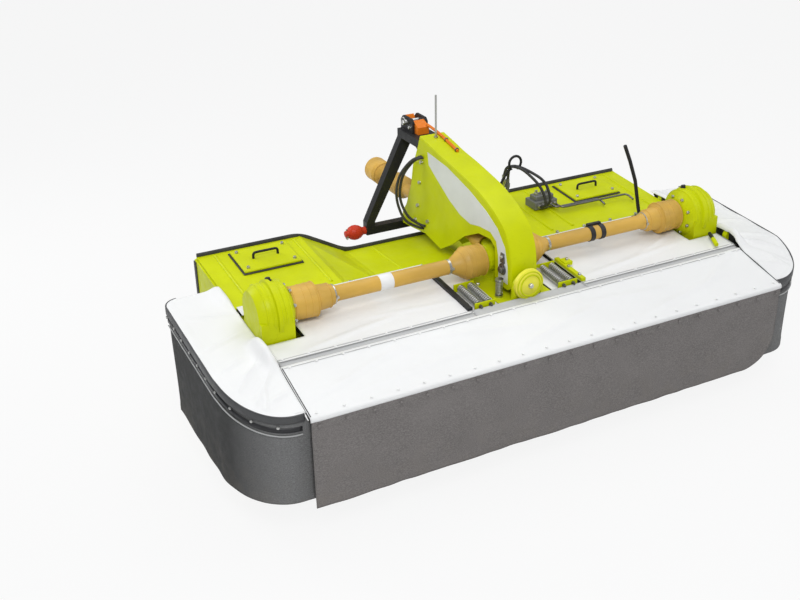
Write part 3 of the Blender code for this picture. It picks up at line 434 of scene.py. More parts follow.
def coated_fabric(name, colour, roughness=0.55, rim=None):
    """Coated polyester: a fine plain weave under the coating, soft stains and handling marks.

    With rim, there is a dark band from that v on.
    """
    weave = 520
    cloth = Finish(name, colour, roughness, Sheen_Weight=0.08, Sheen_Roughness=0.5)
    threads = cloth.maths("MAXIMUM", cloth.bands(weave, "X"), cloth.bands(weave, "Y"))
    marks = cloth.maths("MAXIMUM", cloth.cloud(3.2, 5, 0.35, 0.72),
        cloth.cloud(26, 4, 0.55, 0.8, (1, 0.6, 1)))
    stain = tuple(np.multiply(colour, (0.74, 0.74, 0.72)).tolist())
    stained = cloth.mixed(cloth.times(marks, 0.10), colour, stain)
    if rim is not None:
        past = cloth.remapped(cloth.part("UV", "Y"), rim, rim + 0.001)
        stained = cloth.mixed(past, stained, (0.036, 0.037, 0.038))
    cloth.tint(cloth.times(threads, 0.05), stained, shade(colour, 0.8))
    cloth.rough(30, 3, 0.08, 0.12)
    cloth.bump(cloth.maths("ADD", threads, cloth.times(cloth.noise(16, 5), 2.5)), 0.25, 0.0008)
    return cloth.made


def curtain_cloth(name, colour, rear=1.0):
    """Heavy woven curtain: coarse twill, dry mud low down, rubbed flecks, and painted shade towards the
    rear.
    """
    cloth = Finish(name, colour, 0.72, Specular_IOR_Level=0.10)
    threads = cloth.times(cloth.maths("ADD", cloth.bands(260, "X"), cloth.bands(260, "Y")), 0.5)
    base = cloth.mixed(cloth.cloud(150, 4, 0.38, 0.66, (1, 1, 2.2)), shade(colour, 0.72),
        shade(colour, 1.22))
    base = cloth.mixed(cloth.times(cloth.cloud(4.5, 5, 0.3, 0.72), 0.4), base, shade(colour, 1.25))
    # Painted shade: with rear under 1, the colour darkens towards the rear, down to that share of itself.
    if rear < 1:
        back = cloth.remapped(cloth.part("Object", "Y"), -1.04, -0.80)
        base = cloth.mixed(back, base, shade(colour, rear))
    mud = cloth.times(cloth.low_down(0.15, 0.45), cloth.cloud(11, 6, 0.4, 0.8))
    cloth.tint(cloth.times(mud, 0.35), base, (0.24, 0.215, 0.18))
    cloth.rough(25, 3, 0.1, 0.12)
    cloth.bump(cloth.maths("ADD", threads, cloth.bands(90, "DIAGONAL", 0.6)), 0.5, 0.0012)
    return cloth.made


def moulded(name, colour, roughness=0.42, mottle=0.2):
    """Moulded plastic: faint flow marks, fine grain and a dusty bloom on level tops."""
    plastic = Finish(name, colour, roughness, Specular_IOR_Level=0.32)
    flow = plastic.cloud(8, 5, 0.3, 0.7, (0.4, 1, 1))
    base = plastic.mixed(flow, shade(colour, 1 - mottle), shade(colour, 1 + mottle * 0.6))
    bloom = plastic.times(plastic.facing_up(), plastic.cloud(13, 6, 0.35, 0.75))
    plastic.tint(plastic.times(bloom, 0.2), base, shade(colour, 0.7, 0.12))
    plastic.rough(40, 4, 0.08, 0.14)
    plastic.bump(plastic.noise(350, 3), 0.15)
    return plastic.made


def steel(name, colour, roughness, rust):
    """Worn steel: drawn grain, and thin brown rust in patches."""
    along = (1, 14, 1)
    metal = Finish(name, colour, roughness, Metallic=1.0)
    grain = metal.cloud(55, 5, 0.3, 0.7, along)
    bright = metal.mixed(grain, shade(colour, 0.78), colour)
    metal.tint(metal.times(metal.cloud(18, 7, 0.56, 0.70), rust), bright, (0.20, 0.10, 0.05))
    metal.feed(metal.shader.inputs["Roughness"],
        metal.remapped(grain, 0, 1, roughness - 0.08, roughness + 0.18))
    metal.bump(metal.noise(160, 5, along), 0.2)
    return metal.made


def rubber(name, colour, roughness):
    """Black rubber: grey bloom in clouds, and a matt, slightly pitted skin."""
    skin = Finish(name, colour, roughness)
    skin.tint(skin.times(skin.cloud(12, 6, 0.4, 0.75), 0.4), colour, (0.09, 0.088, 0.084))
    skin.rough(35, 4, 0.1, 0.15)
    skin.bump(skin.noise(240, 4), 0.25)
    return skin.made


lime_colour = (0.565, 0.625, 0.001)
lime = lacquer("lime lacquer", lime_colour)
# A darker copy of the lime lacquer: painted shade for the hood's shell, with more dust.
lime_shaded = lacquer("lime lacquer with painted shade", shade(lime_colour, 0.8), dust=0.5)
black = lacquer("black lacquer", (0.022, 0.022, 0.023), 0.42, dust=0.18, wear=0.2, coat=0.1)
red = lacquer("red lacquer", (0.56, 0.045, 0.018), 0.38, dust=0.2)
orange = lacquer("orange lacquer", (0.74, 0.19, 0.012), 0.36, dust=0.15)
band_silver = lacquer("silver band", (0.70, 0.72, 0.72), 0.40, dust=0.1, wear=0.1)
tarp_white = coated_fabric("white coated fabric", (0.83, 0.83, 0.825))
rim_white = coated_fabric("white coated fabric with a dark rim", (0.83, 0.83, 0.825), rim=0.262)
# Grey for the fold strip: painted shade along the fold.
fold_painted_shade = coated_fabric("fold fabric grey for painted shade", (0.50, 0.50, 0.50))
piping_grey = coated_fabric("grey edge binding", (0.045, 0.045, 0.048), 0.6)
piping_light = coated_fabric("pale edge binding", (0.40, 0.405, 0.40), 0.6)
curtain_front = curtain_cloth("grey curtain cloth", (0.208, 0.194, 0.187))
# The side curtain gets painted shade towards its rear.
curtain_side = curtain_cloth("side curtain cloth with painted shade", (0.190, 0.190, 0.189), rear=0.34)
guard_tan = moulded("tan guard plastic", (0.640, 0.385, 0.070), mottle=0.22)
cap_yellow = moulded("yellow cap plastic", (0.78, 0.74, 0.06))
plastic_black = moulded("black plastic", (0.022, 0.022, 0.024), 0.38)
plastic_grey = moulded("grey plastic", (0.16, 0.165, 0.155), 0.4)
steel_bright = steel("zinc plated steel", (0.62, 0.62, 0.60), 0.30, rust=0.12)
steel_worn = steel("worn steel", (0.46, 0.45, 0.43), 0.36, rust=0.5)
steel_dark = steel("dark spring steel", (0.22, 0.22, 0.22), 0.38, rust=0.4)
rubber_black = rubber("black rubber", (0.025, 0.025, 0.027), 0.62)


# Stage
def photographers_camera():
    """The photograph's viewpoint: turned about the vertical, tilted down, then rolled."""
    data = bpy.data.cameras.new("camera")
    data.lens = lens_mm
    data.sensor_width = 36
    data.shift_x = shift_across
    data.shift_y = shift_up
    data.clip_end = 200
    camera = placed("camera", data)
    turn = Matrix.Rotation(-camera_yaw, 4, "Z") @ Matrix.Rotation(math.pi / 2 - camera_pitch, 4, "X")
    camera.matrix_world = Matrix.Translation(eye) @ turn @ Matrix.Rotation(camera_roll, 4, "Z")
    bpy.context.scene.camera = camera


def studio():
    """A pale floor that shows a soft shadow, a pale surround, and four large soft lamps."""
    reach = 60
    corners = [[(x, y, 0) for x in (-reach, reach)] for y in (-reach, reach)]
    places, faces = surface(corners)
    mesh = bpy.data.meshes.new("floor")
    mesh.from_pydata(places.tolist(), [], faces)
    placed("floor", mesh)
    paint = Finish("floor paper", (0.82, 0.82, 0.82), 0.95, Specular_IOR_Level=0.1)
    mesh.materials.append(paint.made)
    glow = paint.node("ShaderNodeEmission", Color=(0.968, 0.968, 0.968, 1), Strength=1.0)
    rays = paint.node("ShaderNodeLightPath")
    mix = paint.node("ShaderNodeMixShader", Fac=paint.times(rays.outputs["Is Camera Ray"], 0.92))
    paint.feed(mix.inputs[1], paint.shader.outputs[0])
    paint.feed(mix.inputs[2], glow.outputs[0])
    paint.feed(paint.tree.nodes["Material Output"].inputs["Surface"], mix.outputs[0])
    world = bpy.data.worlds.new("studio")
    bpy.context.scene.world = world
    world.use_nodes = True
    nodes, join = world.node_tree.nodes, world.node_tree.links.new
    dim, seen = nodes["Background"], nodes.new("ShaderNodeBackground")
    dim.inputs["Color"].default_value = (0.93, 0.96, 1.0, 1)
    dim.inputs["Strength"].default_value = 0.42
    seen.inputs["Color"].default_value = (0.922, 0.922, 0.922, 1)
    rays, both, mix = (nodes.new(f"ShaderNode{kind}") for kind in ("LightPath", "Math", "MixShader"))
    both.operation = "MAXIMUM"
    join(rays.outputs["Is Camera Ray"], both.inputs[0])
    join(rays.outputs["Is Transmission Ray"], both.inputs[1])
    join(both.outputs[0], mix.inputs[0])
    join(dim.outputs[0], mix.inputs[1])
    join(seen.outputs[0], mix.inputs[2])
    join(mix.outputs[0], nodes["World Output"].inputs["Surface"])
    lamps = [
        # name, place, size, power
        ("key lamp", (-2.6, -4.6, 5.8), 3.2, 232),
        ("top lamp", (1.2, 1.0, 6.5), 5.0, 124),
        ("right lamp", (6.0, -2.5, 3.0), 4.0, 72),
        ("left lamp", (-3.2, 3.0, 3.0), 2.6, 72),
    ]
    for name, place, size, power in lamps:
        lamp = bpy.data.lights.new(name, "AREA")
        lamp.shape = "DISK"
        lamp.size = size
        lamp.energy = power
        made = placed(name, lamp)
        made.location = place
        made.rotation_euler = (Vector((0, -0.2, 0.6)) - Vector(place)).to_track_quat("-Z", "Y").to_euler()
    bpy.context.scene.view_settings.view_transform = "Standard"


# Fabric covers
def smooth_step(value, low, high):
    """0 below low, 1 above high, and 3t² - 2t³ between them, where t is the share of the way."""
    t = np.clip((value - low) / (high - low), 0, 1)
    return t * t * (3 - 2 * t)


def creases(x, y, table):
    """Sum of soft ridges: height · exp(-(d / width)²) · exp(-(s / length)⁴).

    d is the distance from a line through a place at an angle, and s the distance along it.
    The table's columns are x, y, angle in degrees, height, width and length.
    """
    total = np.zeros_like(x)
    for place_x, place_y, angle, height, width, length in table:
        cos, sin = math.cos(math.radians(angle)), math.sin(math.radians(angle))
        along = (x - place_x) * cos + (y - place_y) * sin
        away = (y - place_y) * cos - (x - place_x) * sin
        total = total + height * np.exp(-((away / width) ** 2)) * np.exp(-((along / length) ** 4))
    return total


def waves(x, y, seed, height, length):
    """Eight sine waves of random direction and phase: height times the mean of sin(k · place + phase)."""
    draw = np.random.default_rng(seed)
    angle = draw.uniform(0, np.pi, 8)
    size = 2 * np.pi / (length * draw.uniform(0.6, 1.7, 8))
    phase = draw.uniform(0, 2 * np.pi, 8)
    return height * np.mean([np.sin(k * (x * np.cos(a) + y * np.sin(a)) + p)
            for a, k, p in zip(angle, size, phase)], axis=0)


def lattice(stops, step):
    """Rising values that meet every stop and are no more than a step apart."""
    parts = [np.linspace(a, b, max(2, int(np.ceil((b - a) / step)) + 1))[:-1]
        for a, b in zip(stops, stops[1:])]
    return np.concatenate(parts + [np.array(stops[-1:])])


def hem(distance):
    """Rise of a doubled edge, from the distance to the edge: full on the hem, none past it."""
    return hem_rise * (1 - smooth_step(distance, hem_width - 0.003, hem_width))


def deck_fabric(word, side):
    """White cover behind the fold: deck height, less a sag between bars, plus creases, waves and hems.

    The cells over the gearbox's notch are left out.
    """
    xs = lattice([opening_half, opening_half + hem_width, notch_x - hem_width, notch_x, seam_x - hem_width,
            seam_x], 0.016)
    ys = lattice([deck_front, deck_front + hem_width, notch_front - hem_width, notch_front, notch_rear,
            notch_rear + hem_width, deck_rear], 0.014)
    x, y = np.meshgrid(xs, ys)
    edge = np.minimum.reduce([x - opening_half, seam_x - x, y - deck_front, deck_rear - y])
    beyond = np.maximum(notch_front - y, y - notch_rear)
    corner = np.hypot(notch_x - x, np.maximum(0, beyond))
    edge = np.minimum(edge, np.where(x < notch_x, corner, np.abs(np.maximum(notch_x - x, beyond))))
    span_x = np.clip((x - opening_half) / (notch_x - opening_half), 0, 1)
    span_y = (y - deck_front) / (deck_rear - deck_front)
    sag = 0.010 * np.sin(np.pi * span_x) * np.sin(np.pi * span_y)
    folds = creases(x * side, y, [(-0.95, -0.62, 12, 0.0057, 0.017, 0.28),
            (-0.60, -0.55, -8, 0.0042, 0.015, 0.22), (-1.05, -0.30, 40, 0.0049, 0.014, 0.12),
            (0.75, -0.60, 8, 0.0065, 0.019, 0.34), (1.00, -0.50, 20, 0.0049, 0.015, 0.22),
            (0.55, -0.35, -25, 0.0042, 0.015, 0.16)])
    swell = waves(x, y, 11 + side, 0.0035, 0.24) * np.sin(np.pi * span_y)
    z = deck_z(y) - cloth_drop - sag + crease_scale * folds + swell + hem(edge)
    places, faces = surface(columns(x, y, z))
    faces = np.array(faces)
    centre = places[faces].mean(1)
    keep = ~((centre[:, 0] > notch_x) & (centre[:, 1] > notch_front) & (centre[:, 1] < notch_rear))
    used, faces = np.unique(faces[keep], return_inverse=True)
    shell = on_side((places[used], faces.reshape(-1, 4).tolist()), side)
    made = piece(f"deck_fabric_{word}", shell, tarp_white, uv=shell[0][:, :2], wall=cloth_wall)
    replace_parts(made, f"deck_tarp_{word}")


def flap_fabric():
    """White top of the front flap: its slope plus creases, then a quarter circle down at the front edge."""
    rear = fold_y - 0.012
    lip = 0.010
    drop = 0.012
    wide = seam_x + 0.0035
    xs = lattice([-wide, -wide + hem_width, wide - hem_width, wide], 0.016)
    run = lattice([0, hem_width, rear - front_edge_y - lip], 0.014)
    x, s = np.meshgrid(xs, run)
    y = rear - s
    share = s / run[-1]
    edge = np.minimum(wide - np.abs(x), s)
    bays = np.abs(np.sin(np.pi * (x + seam_x) / (seam_x / 2)))
    sag = 0.006 * bays * np.sin(np.pi * share)
    folds = creases(x, y, [(-1.05, -0.90, 18, 0.0057, 0.019, 0.30), (-0.75, -0.98, 6, 0.0046, 0.017, 0.36),
            (-0.35, -0.86, -10, 0.0049, 0.017, 0.28), (0.05, -0.95, 14, 0.0057, 0.020, 0.34),
            (0.50, -0.88, -6, 0.0046, 0.017, 0.30), (0.85, -0.97, 12, 0.0053, 0.019, 0.32),
            (1.15, -0.86, 30, 0.0046, 0.015, 0.20)])
    swell = waves(x, y, 5, 0.0038, 0.26) * np.sin(np.pi * share)
    z = deck_z(y) - cloth_drop - sag + crease_scale * folds + swell + hem(edge)
    turn = np.linspace(0, np.pi / 2, 5)[1:]
    low = np.arange(1, 3) * drop / 2
    y_end = np.concatenate([y[-1, 0] - lip * np.sin(turn), np.full(2, y[-1, 0] - lip)])
    z_fall = np.concatenate([lip * (1 - np.cos(turn)) + 0.25 * lip * np.sin(turn), 1.25 * lip + low])
    x = np.vstack([x, np.repeat(x[:1], len(y_end), 0)])
    y = np.vstack([y, np.repeat(y_end[:, None], len(xs), 1)])
    z = np.vstack([z, z[-1] - z_fall[:, None]])
    points = columns(x, y, z)[::-1]
    length = rear - front_edge_y + lip * 0.6 + drop
    uv = columns(x, -np.linspace(0, length, len(x))[:, None])[::-1].reshape(-1, 2)
    made = piece("flap_fabric", surface(points), tarp_white, "front_flap", uv=uv, wall=cloth_wall)
    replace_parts(made, "flap_tarp")


def fold_strip():
    """Fabric bridge over the fold: a shallow trough, z = deck height - depth · sin of the share across."""
    front, rear = fold_y - 0.030, deck_front + 0.020
    share = np.linspace(0, 1, 13)[:, None]
    stops = (-seam_x, -opening_half, opening_half, seam_x)
    for number, (start, end) in enumerate(zip(stops, stops[1:])):
        xs = lattice([start + 0.001, end - 0.001], 0.02)[None]
        y = front + (rear - front) * share + 0 * xs
        dip = 0.007 * np.sin(np.pi * share) ** 0.8 + 0.001 * np.sin(9 * xs) * np.sin(np.pi * share)
        z = deck_z(y) + 0.0016 - dip
        points = columns(xs, y, z)
        uv = points[..., :2].reshape(-1, 2)
        # The strip's grey is painted shade along the fold.
        made = piece(f"fold_strip_{number}", surface(points), fold_painted_shade, None, uv=uv, wall=0.0015)
        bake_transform(made)


def curtain_bottom(x):
    """Height of the front curtain's lower edge: level, then a quarter circle up at its right end."""
    over = np.clip(x - (seam_x - curtain_corner), 0, curtain_corner)
    return curtain_low + curtain_corner - np.sqrt(curtain_corner ** 2 - over ** 2)


def flap_curtain_cloth():
    """Front curtain: x and a share down. Waves that grow downwards move it in and out; hems stand proud."""
    top = front_edge_z - 0.016
    xs = lattice([-seam_x, seam_x - curtain_corner, seam_x - 0.02, seam_x], 0.012)
    xs[-1] = seam_x - 0.0005
    share = lattice([0, 1], 0.022)
    x, t = np.meshgrid(xs, share)
    low = curtain_bottom(x)
    z = top + (low - top) * t
    rise = z - low
    hang = smooth_step(t, 0.0, 1.0)
    swing = waves(x, 0.35 * z, 21, 0.009, 0.42) + waves(x, 0.2 * z, 8, 0.005, 0.14)
    bottom, band = smooth_step(rise, 0.045, 0.049), smooth_step(top - z, 0.050, 0.054)
    proud = 0.0018 * (1 - bottom) + 0.0022 * (1 - band)
    y = front_edge_y + 0.004 - hang * (0.004 + swing) - proud
    points = columns(x, y, z)
    uv = columns(x, z)[::-1].reshape(-1, 2)
    made = piece("flap_curtain_cloth", surface(points[::-1]), curtain_front, "front_flap", uv=uv,
        wall=curtain_wall)
    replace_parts(made, "flap_curtain")


def side_edge(inner=seam_x + seam_gap):
    """Plan of a side cover's outer edge on the right, from the front to the heel.

    A quarter ellipse round the front corner, a straight side, then a quarter circle round the heel.
    """
    angle = np.linspace(-np.pi / 2, 0, 22)
    centre = (side_half_width - side_corner_x, side_front_y + side_corner_y)
    corner = columns(centre[0] + side_corner_x * np.cos(angle), centre[1] + side_corner_y * np.sin(angle))
    heel_radius = side_corner_x / 4
    straight = np.linspace(corner[-1, 1], side_rear_y - heel_radius, 34)[1:]
    wall = columns(side_half_width, straight)
    angle = np.linspace(0, np.pi / 2, 8)[1:]
    centre = np.array([side_half_width, side_rear_y]) - heel_radius
    heel = centre + heel_radius * columns(np.cos(angle), np.sin(angle))
    lead = columns(np.linspace(inner, side_half_width - side_corner_x, 5)[:-1], side_front_y)
    return np.concatenate([lead, corner, wall, heel])


def evenly(path, step):
    """The path again with points a step apart, by straight interpolation on its running length."""
    length = np.concatenate([[0], np.cumsum(np.linalg.norm(np.diff(path, axis=0), axis=1))])
    at = np.linspace(0, length[-1], int(length[-1] / step) + 1)
    return np.stack([np.interp(at, length, path[:, k]) for k in range(2)], -1), at


def outward(path):
    """Unit normal of a plan path, to the right of its direction."""
    way = directions(path)
    return columns(way[:, 1], -way[:, 0])


def side_fabric(word, side):
    """White side cover: straight lines from seam to edge, with creases, then a turn down over the rim."""
    edge, run = evenly(side_edge(), 0.010)
    normal = outward(edge)
    inner_y = side_front_y + (side_rear_y - side_front_y) * smooth_step(run / run[-1], 0.0, 0.98)
    inner_x = seam_x + seam_gap - 0.002 - 0.0055 * (1 - smooth_step(inner_y, -0.72, -0.70))
    inner = columns(inner_x, inner_y)
    share = lattice([0, 1], 0.032)
    lip, drop = 0.012, 0.030
    turn = np.linspace(0, np.pi / 2, 5)[1:]
    fall = np.concatenate([lip * (1 - np.cos(turn)), lip + drop * np.array([0.5, 1.0])])
    reach = np.concatenate([lip * np.sin(turn), np.full(2, lip)])
    flat = inner[:, None] + (edge - lip * normal - inner)[:, None] * share[None, :, None]
    x, y = flat[..., 0], flat[..., 1]
    across = np.linalg.norm(edge - inner, axis=1)[:, None] * (1 - share[None])
    ends = np.minimum(run, run[-1] - run)[:, None]
    folds = creases(x, y, [(1.52, -0.86, -52, 0.0130, 0.011, 0.15), (1.57, -0.78, -44, 0.0120, 0.011, 0.13),
            (1.50, -0.72, -35, 0.0110, 0.011, 0.12), (1.60, -0.66, -30, 0.0100, 0.010, 0.10),
            (1.54, -0.95, -70, 0.0110, 0.010, 0.09), (1.58, -0.45, -20, 0.0090, 0.012, 0.13),
            (1.47, -0.93, -20, 0.0090, 0.010, 0.06), (1.53, -0.20, 15, 0.0090, 0.012, 0.13)])
    folds = folds * smooth_step(1 - share[None], 0.02, 0.22)
    droop = 0.003 * smooth_step(x, 1.45, 1.70)
    over_hinge = sum(np.exp(-((y - place) / 0.120) ** 4) for place in hinge_places)
    droop = droop - (hinge_top - deck_z(y)) * over_hinge * np.exp(-((x - side_hinge_x) / 0.034) ** 2)
    swell = waves(x, y, 31 + side, 0.004, 0.2)
    z = deck_z(y) - cloth_drop - droop + folds + swell + hem(np.minimum(across, ends + 0.02))
    flare = 1.55
    rim = (edge - lip * normal)[:, None] + flare * reach[None, :, None] * normal[:, None]
    points = np.concatenate([columns(x, y, z), np.dstack([rim, z[:, -1:] - fall])], 1)
    depth = np.concatenate([share * 0.25, 0.25 + np.linspace(0.006, 0.045, len(fall))])
    uv = columns(run[:, None], depth).reshape(-1, 2)
    made = piece(f"side_fabric_{word}", on_side(surface(points), side), rim_white, None, uv=uv,
        wall=cloth_wall)
    turn_to(made, 2, 1)
    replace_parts(made, f"side_tarp_{word}")
    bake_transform(made)


def turn_to(made, axis, sign):
    """Turns a sheet's faces so that most of them look along an axis, or against it where the sign is -1."""
    normals = np.empty(len(made.data.polygons) * 3, np.float32)
    made.data.polygons.foreach_get("normal", normals)
    if normals.reshape(-1, 3)[:, axis].sum() * sign < 0:
        made.data.flip_normals()


def side_curtain_cloth(word, side):
    """Side curtain: run along the plan edge and a share down, with a doubled top band.

    Waves that grow downwards move it out and in. The beads and the clamp strip follow the same edge.
    """
    edge, run = evenly(side_edge(inner=1.371)[:-7], 0.0155)
    normal = outward(edge)
    share = lattice([0, 1], 0.024)
    top = np.where(edge[:, 0] < seam_x, 0.620, deck_z(edge[:, 1]) - 0.016)
    z = top[:, None] + (side_curtain_low - top)[:, None] * share[None]
    band = 0.085
    fall = top[:, None] - z
    proud = 0.004 * (1 - smooth_step(fall, band - 0.004, band))
    proud = proud + 0.0018 * (1 - smooth_step(z - side_curtain_low, 0.040, 0.044))
    along = run[:, None]
    swing = waves(along, 0.4 * z, 41 + side, 0.010, 0.36) + waves(along, 0.2 * z, 4, 0.004, 0.12)
    away = -0.004 + proud + smooth_step(fall, 0, 0.6) * (swing - 0.004)
    places = edge[:, None] + away[..., None] * normal[:, None]
    uv = columns(run[:, None], z).reshape(-1, 2)
    body = f"side_cover_{word}"
    shell = on_side(surface(np.dstack([places, z])), side)
    made = piece(f"side_curtain_cloth_{word}", shell, curtain_side, body, uv=uv, wall=curtain_wall)
    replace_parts(made, f"side_curtain_{word}")

    def lined(path, out, height):
        return np.column_stack([path + out * outward(path), height]) * (side, 1, 1)

    whole, _ = evenly(side_edge(), 0.0155)
    bead = lined(whole, 0.0022, deck_z(whole[:, 1]) - 0.0072)
    piece(f"cover_piping_{word}", swept(bead, 0.0044, 10), piping_grey, body)
    seen = edge[:, 0] > seam_x + seam_gap
    lines = [(edge + out * normal)[seen] for out in (0.002, 0.0035)]
    top = top[seen]
    binding = np.column_stack([lines[0], top - band - 0.004]) * (side, 1, 1)
    piece(f"curtain_piping_{word}", swept(binding, 0.0035, 8), piping_light, body)
    strap = [np.column_stack([lines[1], top - level]) * (side, 1, 1) for level in (0.046, 0.070)]
    made = piece(f"curtain_clamp_{word}", surface(np.stack(strap, 1)), plastic_black, body, wall=0.002)
    turn_to(made, 0, side)


def bindings(word, side):
    """Narrow edge bindings and snap rivets on the covers of one side."""
    deck = [(opening_half, deck_rear), (opening_half, deck_front), (seam_x, deck_front),
        (seam_x, notch_front)]
    path = np.array([(side * x, y, deck_z(y) + 0.0006) for x, y in deck])
    piece(f"deck_binding_{word}", swept(rounded_path(path, 0.02), 0.0026, 8), piping_light)
    ys = np.linspace(-0.770, front_edge_y + 0.012, 24)
    rim = columns(side * (seam_x - 0.002), ys, deck_z(ys) + 0.0004)
    piece(f"flap_binding_{word}", swept(rim, 0.0024, 8), piping_grey, "front_flap")
    places = [(side * x, deck_front + 0.016, deck_z(deck_front + 0.016) - 0.0012)
        for x in np.arange(0.42, 1.38, 0.135)]
    bolted(f"deck_rivets_{word}", places, (0, 0, 1), 0.013, 0.004, paint=tarp_white)
    path, _ = evenly(side_edge()[:-7], 0.112)
    flat = np.column_stack([path, deck_z(path[:, 1]) - 0.058])
    shells = [bolts([place + (*(way * 0.0036), 0)], (*way, 0), 0.013, 0.004)
        for place, way in zip(flat[1:], outward(path)[1:])]
    piece(f"curtain_rivets_{word}", on_side(joined(shells), side), steel_bright, f"side_cover_{word}")


def front_rivets():
    """Snap rivets along both long hems of the front flap and along the curtain's top band."""
    xs = np.linspace(-1.355, 1.355, 21)
    top = [(x, y, deck_z(y) - 0.0012) for x in xs for y in (-0.775, -1.078)]
    bolted("flap_rivets", top, (0, 0, 1), 0.013, 0.004, paint=tarp_white, body="front_flap")
    face = [(x, front_edge_y - 0.0022, front_edge_z - 0.045) for x in xs]
    bolted("curtain_rivets", face, (0, -1, 0), 0.014, 0.004, paint=curtain_front, body="front_flap")


# Middle of the deck
def opening_trim():
    """Fabric panels in the deck's opening, the bar and bracket beside them, and the drum's smooth skin."""
    ys = lattice([-0.700, -0.215], 0.012)
    for word, side in sides:
        xs = lattice([0.168, opening_half - 0.004], 0.012)
        x, y = np.meshgrid(xs, ys)
        across = np.sin(np.pi * (x - xs[0]) / (xs[-1] - xs[0]))
        z = deck_z(y) - 0.020 - 0.004 * across + waves(x, y, 61 + side, 0.002, 0.11)
        shell = on_side(surface(columns(x, y, z)), side)
        made = piece(f"opening_fabric_{word}", shell, tarp_white, uv=shell[0][:, :2], wall=cloth_wall)

    def sloped(low, high, front, rear):
        return [(y, deck_z(y) + level) for y, level in ((front, low), (rear, low), (rear, high),
                (front, high))]

    piece("opening_bar", prism("X", sloped(-0.006, 0.016, -0.705, -0.262), -0.362, -0.334), black,
        bevel=0.003)
    bracket = [prism("X", sloped(-0.004, 0.020, -0.700, -0.440), 0.338, 0.366),
        block((0.346, 0.400), (-0.530, -0.470), (0.770, 0.794))]
    piece("opening_bracket", bracket, lime, bevel=0.003)
    heads = [(0.352, -0.66, 0.7745), (0.352, -0.56, 0.7815), (0.380, -0.50, 0.7935)]
    bolted("bracket_bolts", heads, (0, 0, 1), 0.017)
    base = [(side * 0.140, y, 0.7346) for _, side in sides for y in (-0.700, -0.430, -0.290)]
    bolted("cradle_bolts", base, (0, 0, 1), 0.019)
    drum_face, drum_z = -0.7205, 0.820
    cap = turned((0, drum_face + 0.0002, drum_z), (0, 1, 0),
        [(0, 0.064), (0.004, 0.069), (0.010, 0.0842), (0.030, 0.0842)], 72)
    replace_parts(piece("drum_skin", cap, cap_yellow), "pivot_drum")
    ring = [hoop((0, drum_face, drum_z), (0, 1, 0), 0.058, 0.0045),
        hoop((0, drum_face + 0.0045, drum_z), (0, 1, 0), 0.074, 0.003)]
    piece("drum_rings", ring, lime)
    bolted("drum_bolt", [(0, drum_face, drum_z)], (0, -1, 0), 0.024, 0.012)


def spring_coils(word, side):
    """Coil springs on washers, in place of the plain sleeves."""
    x, y, low, high = side * 0.115, -0.600, 0.7352, 0.8352
    washer = [(0, 0.022), (0.009, 0.022)]
    shells = [coil((x, y, low + 0.012), (x, y, high - 0.012), 0.0165, 0.0036, 8),
        *(turned((x, y, z), (0, 0, 1), washer, 24) for z in (low, high - 0.009)),
        turned((x, y, low), (0, 0, 1), [(0.004, 0.008), (0.096, 0.008)], 16)]
    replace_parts(piece(f"spring_coil_{word}", shells, steel_bright), f"relief_spring_{word}")


def deck_springs(word, side):
    """Two tension springs on rods beside the arm's foot, between two brackets on the deck's slope."""
    ends = (-0.690, -0.474)
    middle = side * 0.255
    coils, rods = [], []
    for x in (middle - side * 0.030, middle + side * 0.030):
        start, end = (np.array([x, y, deck_z(y) + 0.006]) for y in ends)
        way = (end - start) / np.linalg.norm(end - start)
        coils.append(coil(start + 0.012 * way, end - 0.012 * way, 0.0170, 0.0042, 13))
        rods.append(turned(start - 0.022 * way, way, [(0, 0.0065), (0.245, 0.0065)], 16))
        rods.append(turned(start - 0.014 * way, way, [(0, 0.0105), (0.010, 0.0105)], 6))
    piece(f"deck_spring_{word}", coils, steel_bright)
    piece(f"deck_spring_rod_{word}", rods, steel_dark)
    brackets = [block((middle - 0.060, middle + 0.060), (y - 0.004, y + 0.004),
            (deck_z(y) - 0.0195, deck_z(y) + 0.024)) for y in ends]
    piece(f"deck_spring_bracket_{word}", brackets, lime, bevel=0.0015)


# Drive line
def round_shells(word, side):
    """Smooth turned skins over the shaft guard and the gearbox's case, half a millimetre larger."""
    cone, length = 0.088, 1.0931
    profile = [(0, 0.0827), (0.004, 0.0842), (0.1045, cone), (0.112, 0.0865), (0.133, 0.0704),
        (0.185, 0.0410), (0.190, guard_radius), (0.833, guard_radius), (0.839, 0.0410), (0.885, 0.0616),
        (0.950, 0.0669), (0.955, 0.0700), (0.963, cone), (1.088, 0.0855), (length, 0.0840)]
    start = (side * 0.1056, disc_line_y, shaft_z)
    made = piece(f"guard_skin_{word}", turned(start, (side, 0, 0), profile, 72), guard_tan)
    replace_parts(made, f"shaft_guard_{word}")
    case = [(0, 0.0765), (0.019, 0.1148), (0.038, 0.1400), (0.085, 0.1400), (0.0865, 0.1440),
        (0.0900, 0.1524), (0.1100, 0.1524), (0.1135, 0.1440), (0.115, 0.1400), (0.162, 0.1400),
        (0.1995, 0.1150)]
    start = (side * (gearbox_in + 0.0002), gearbox_y, shaft_z)
    piece(f"gearbox_skin_{word}", turned(start, (side, 0, 0), case, 72), lime)


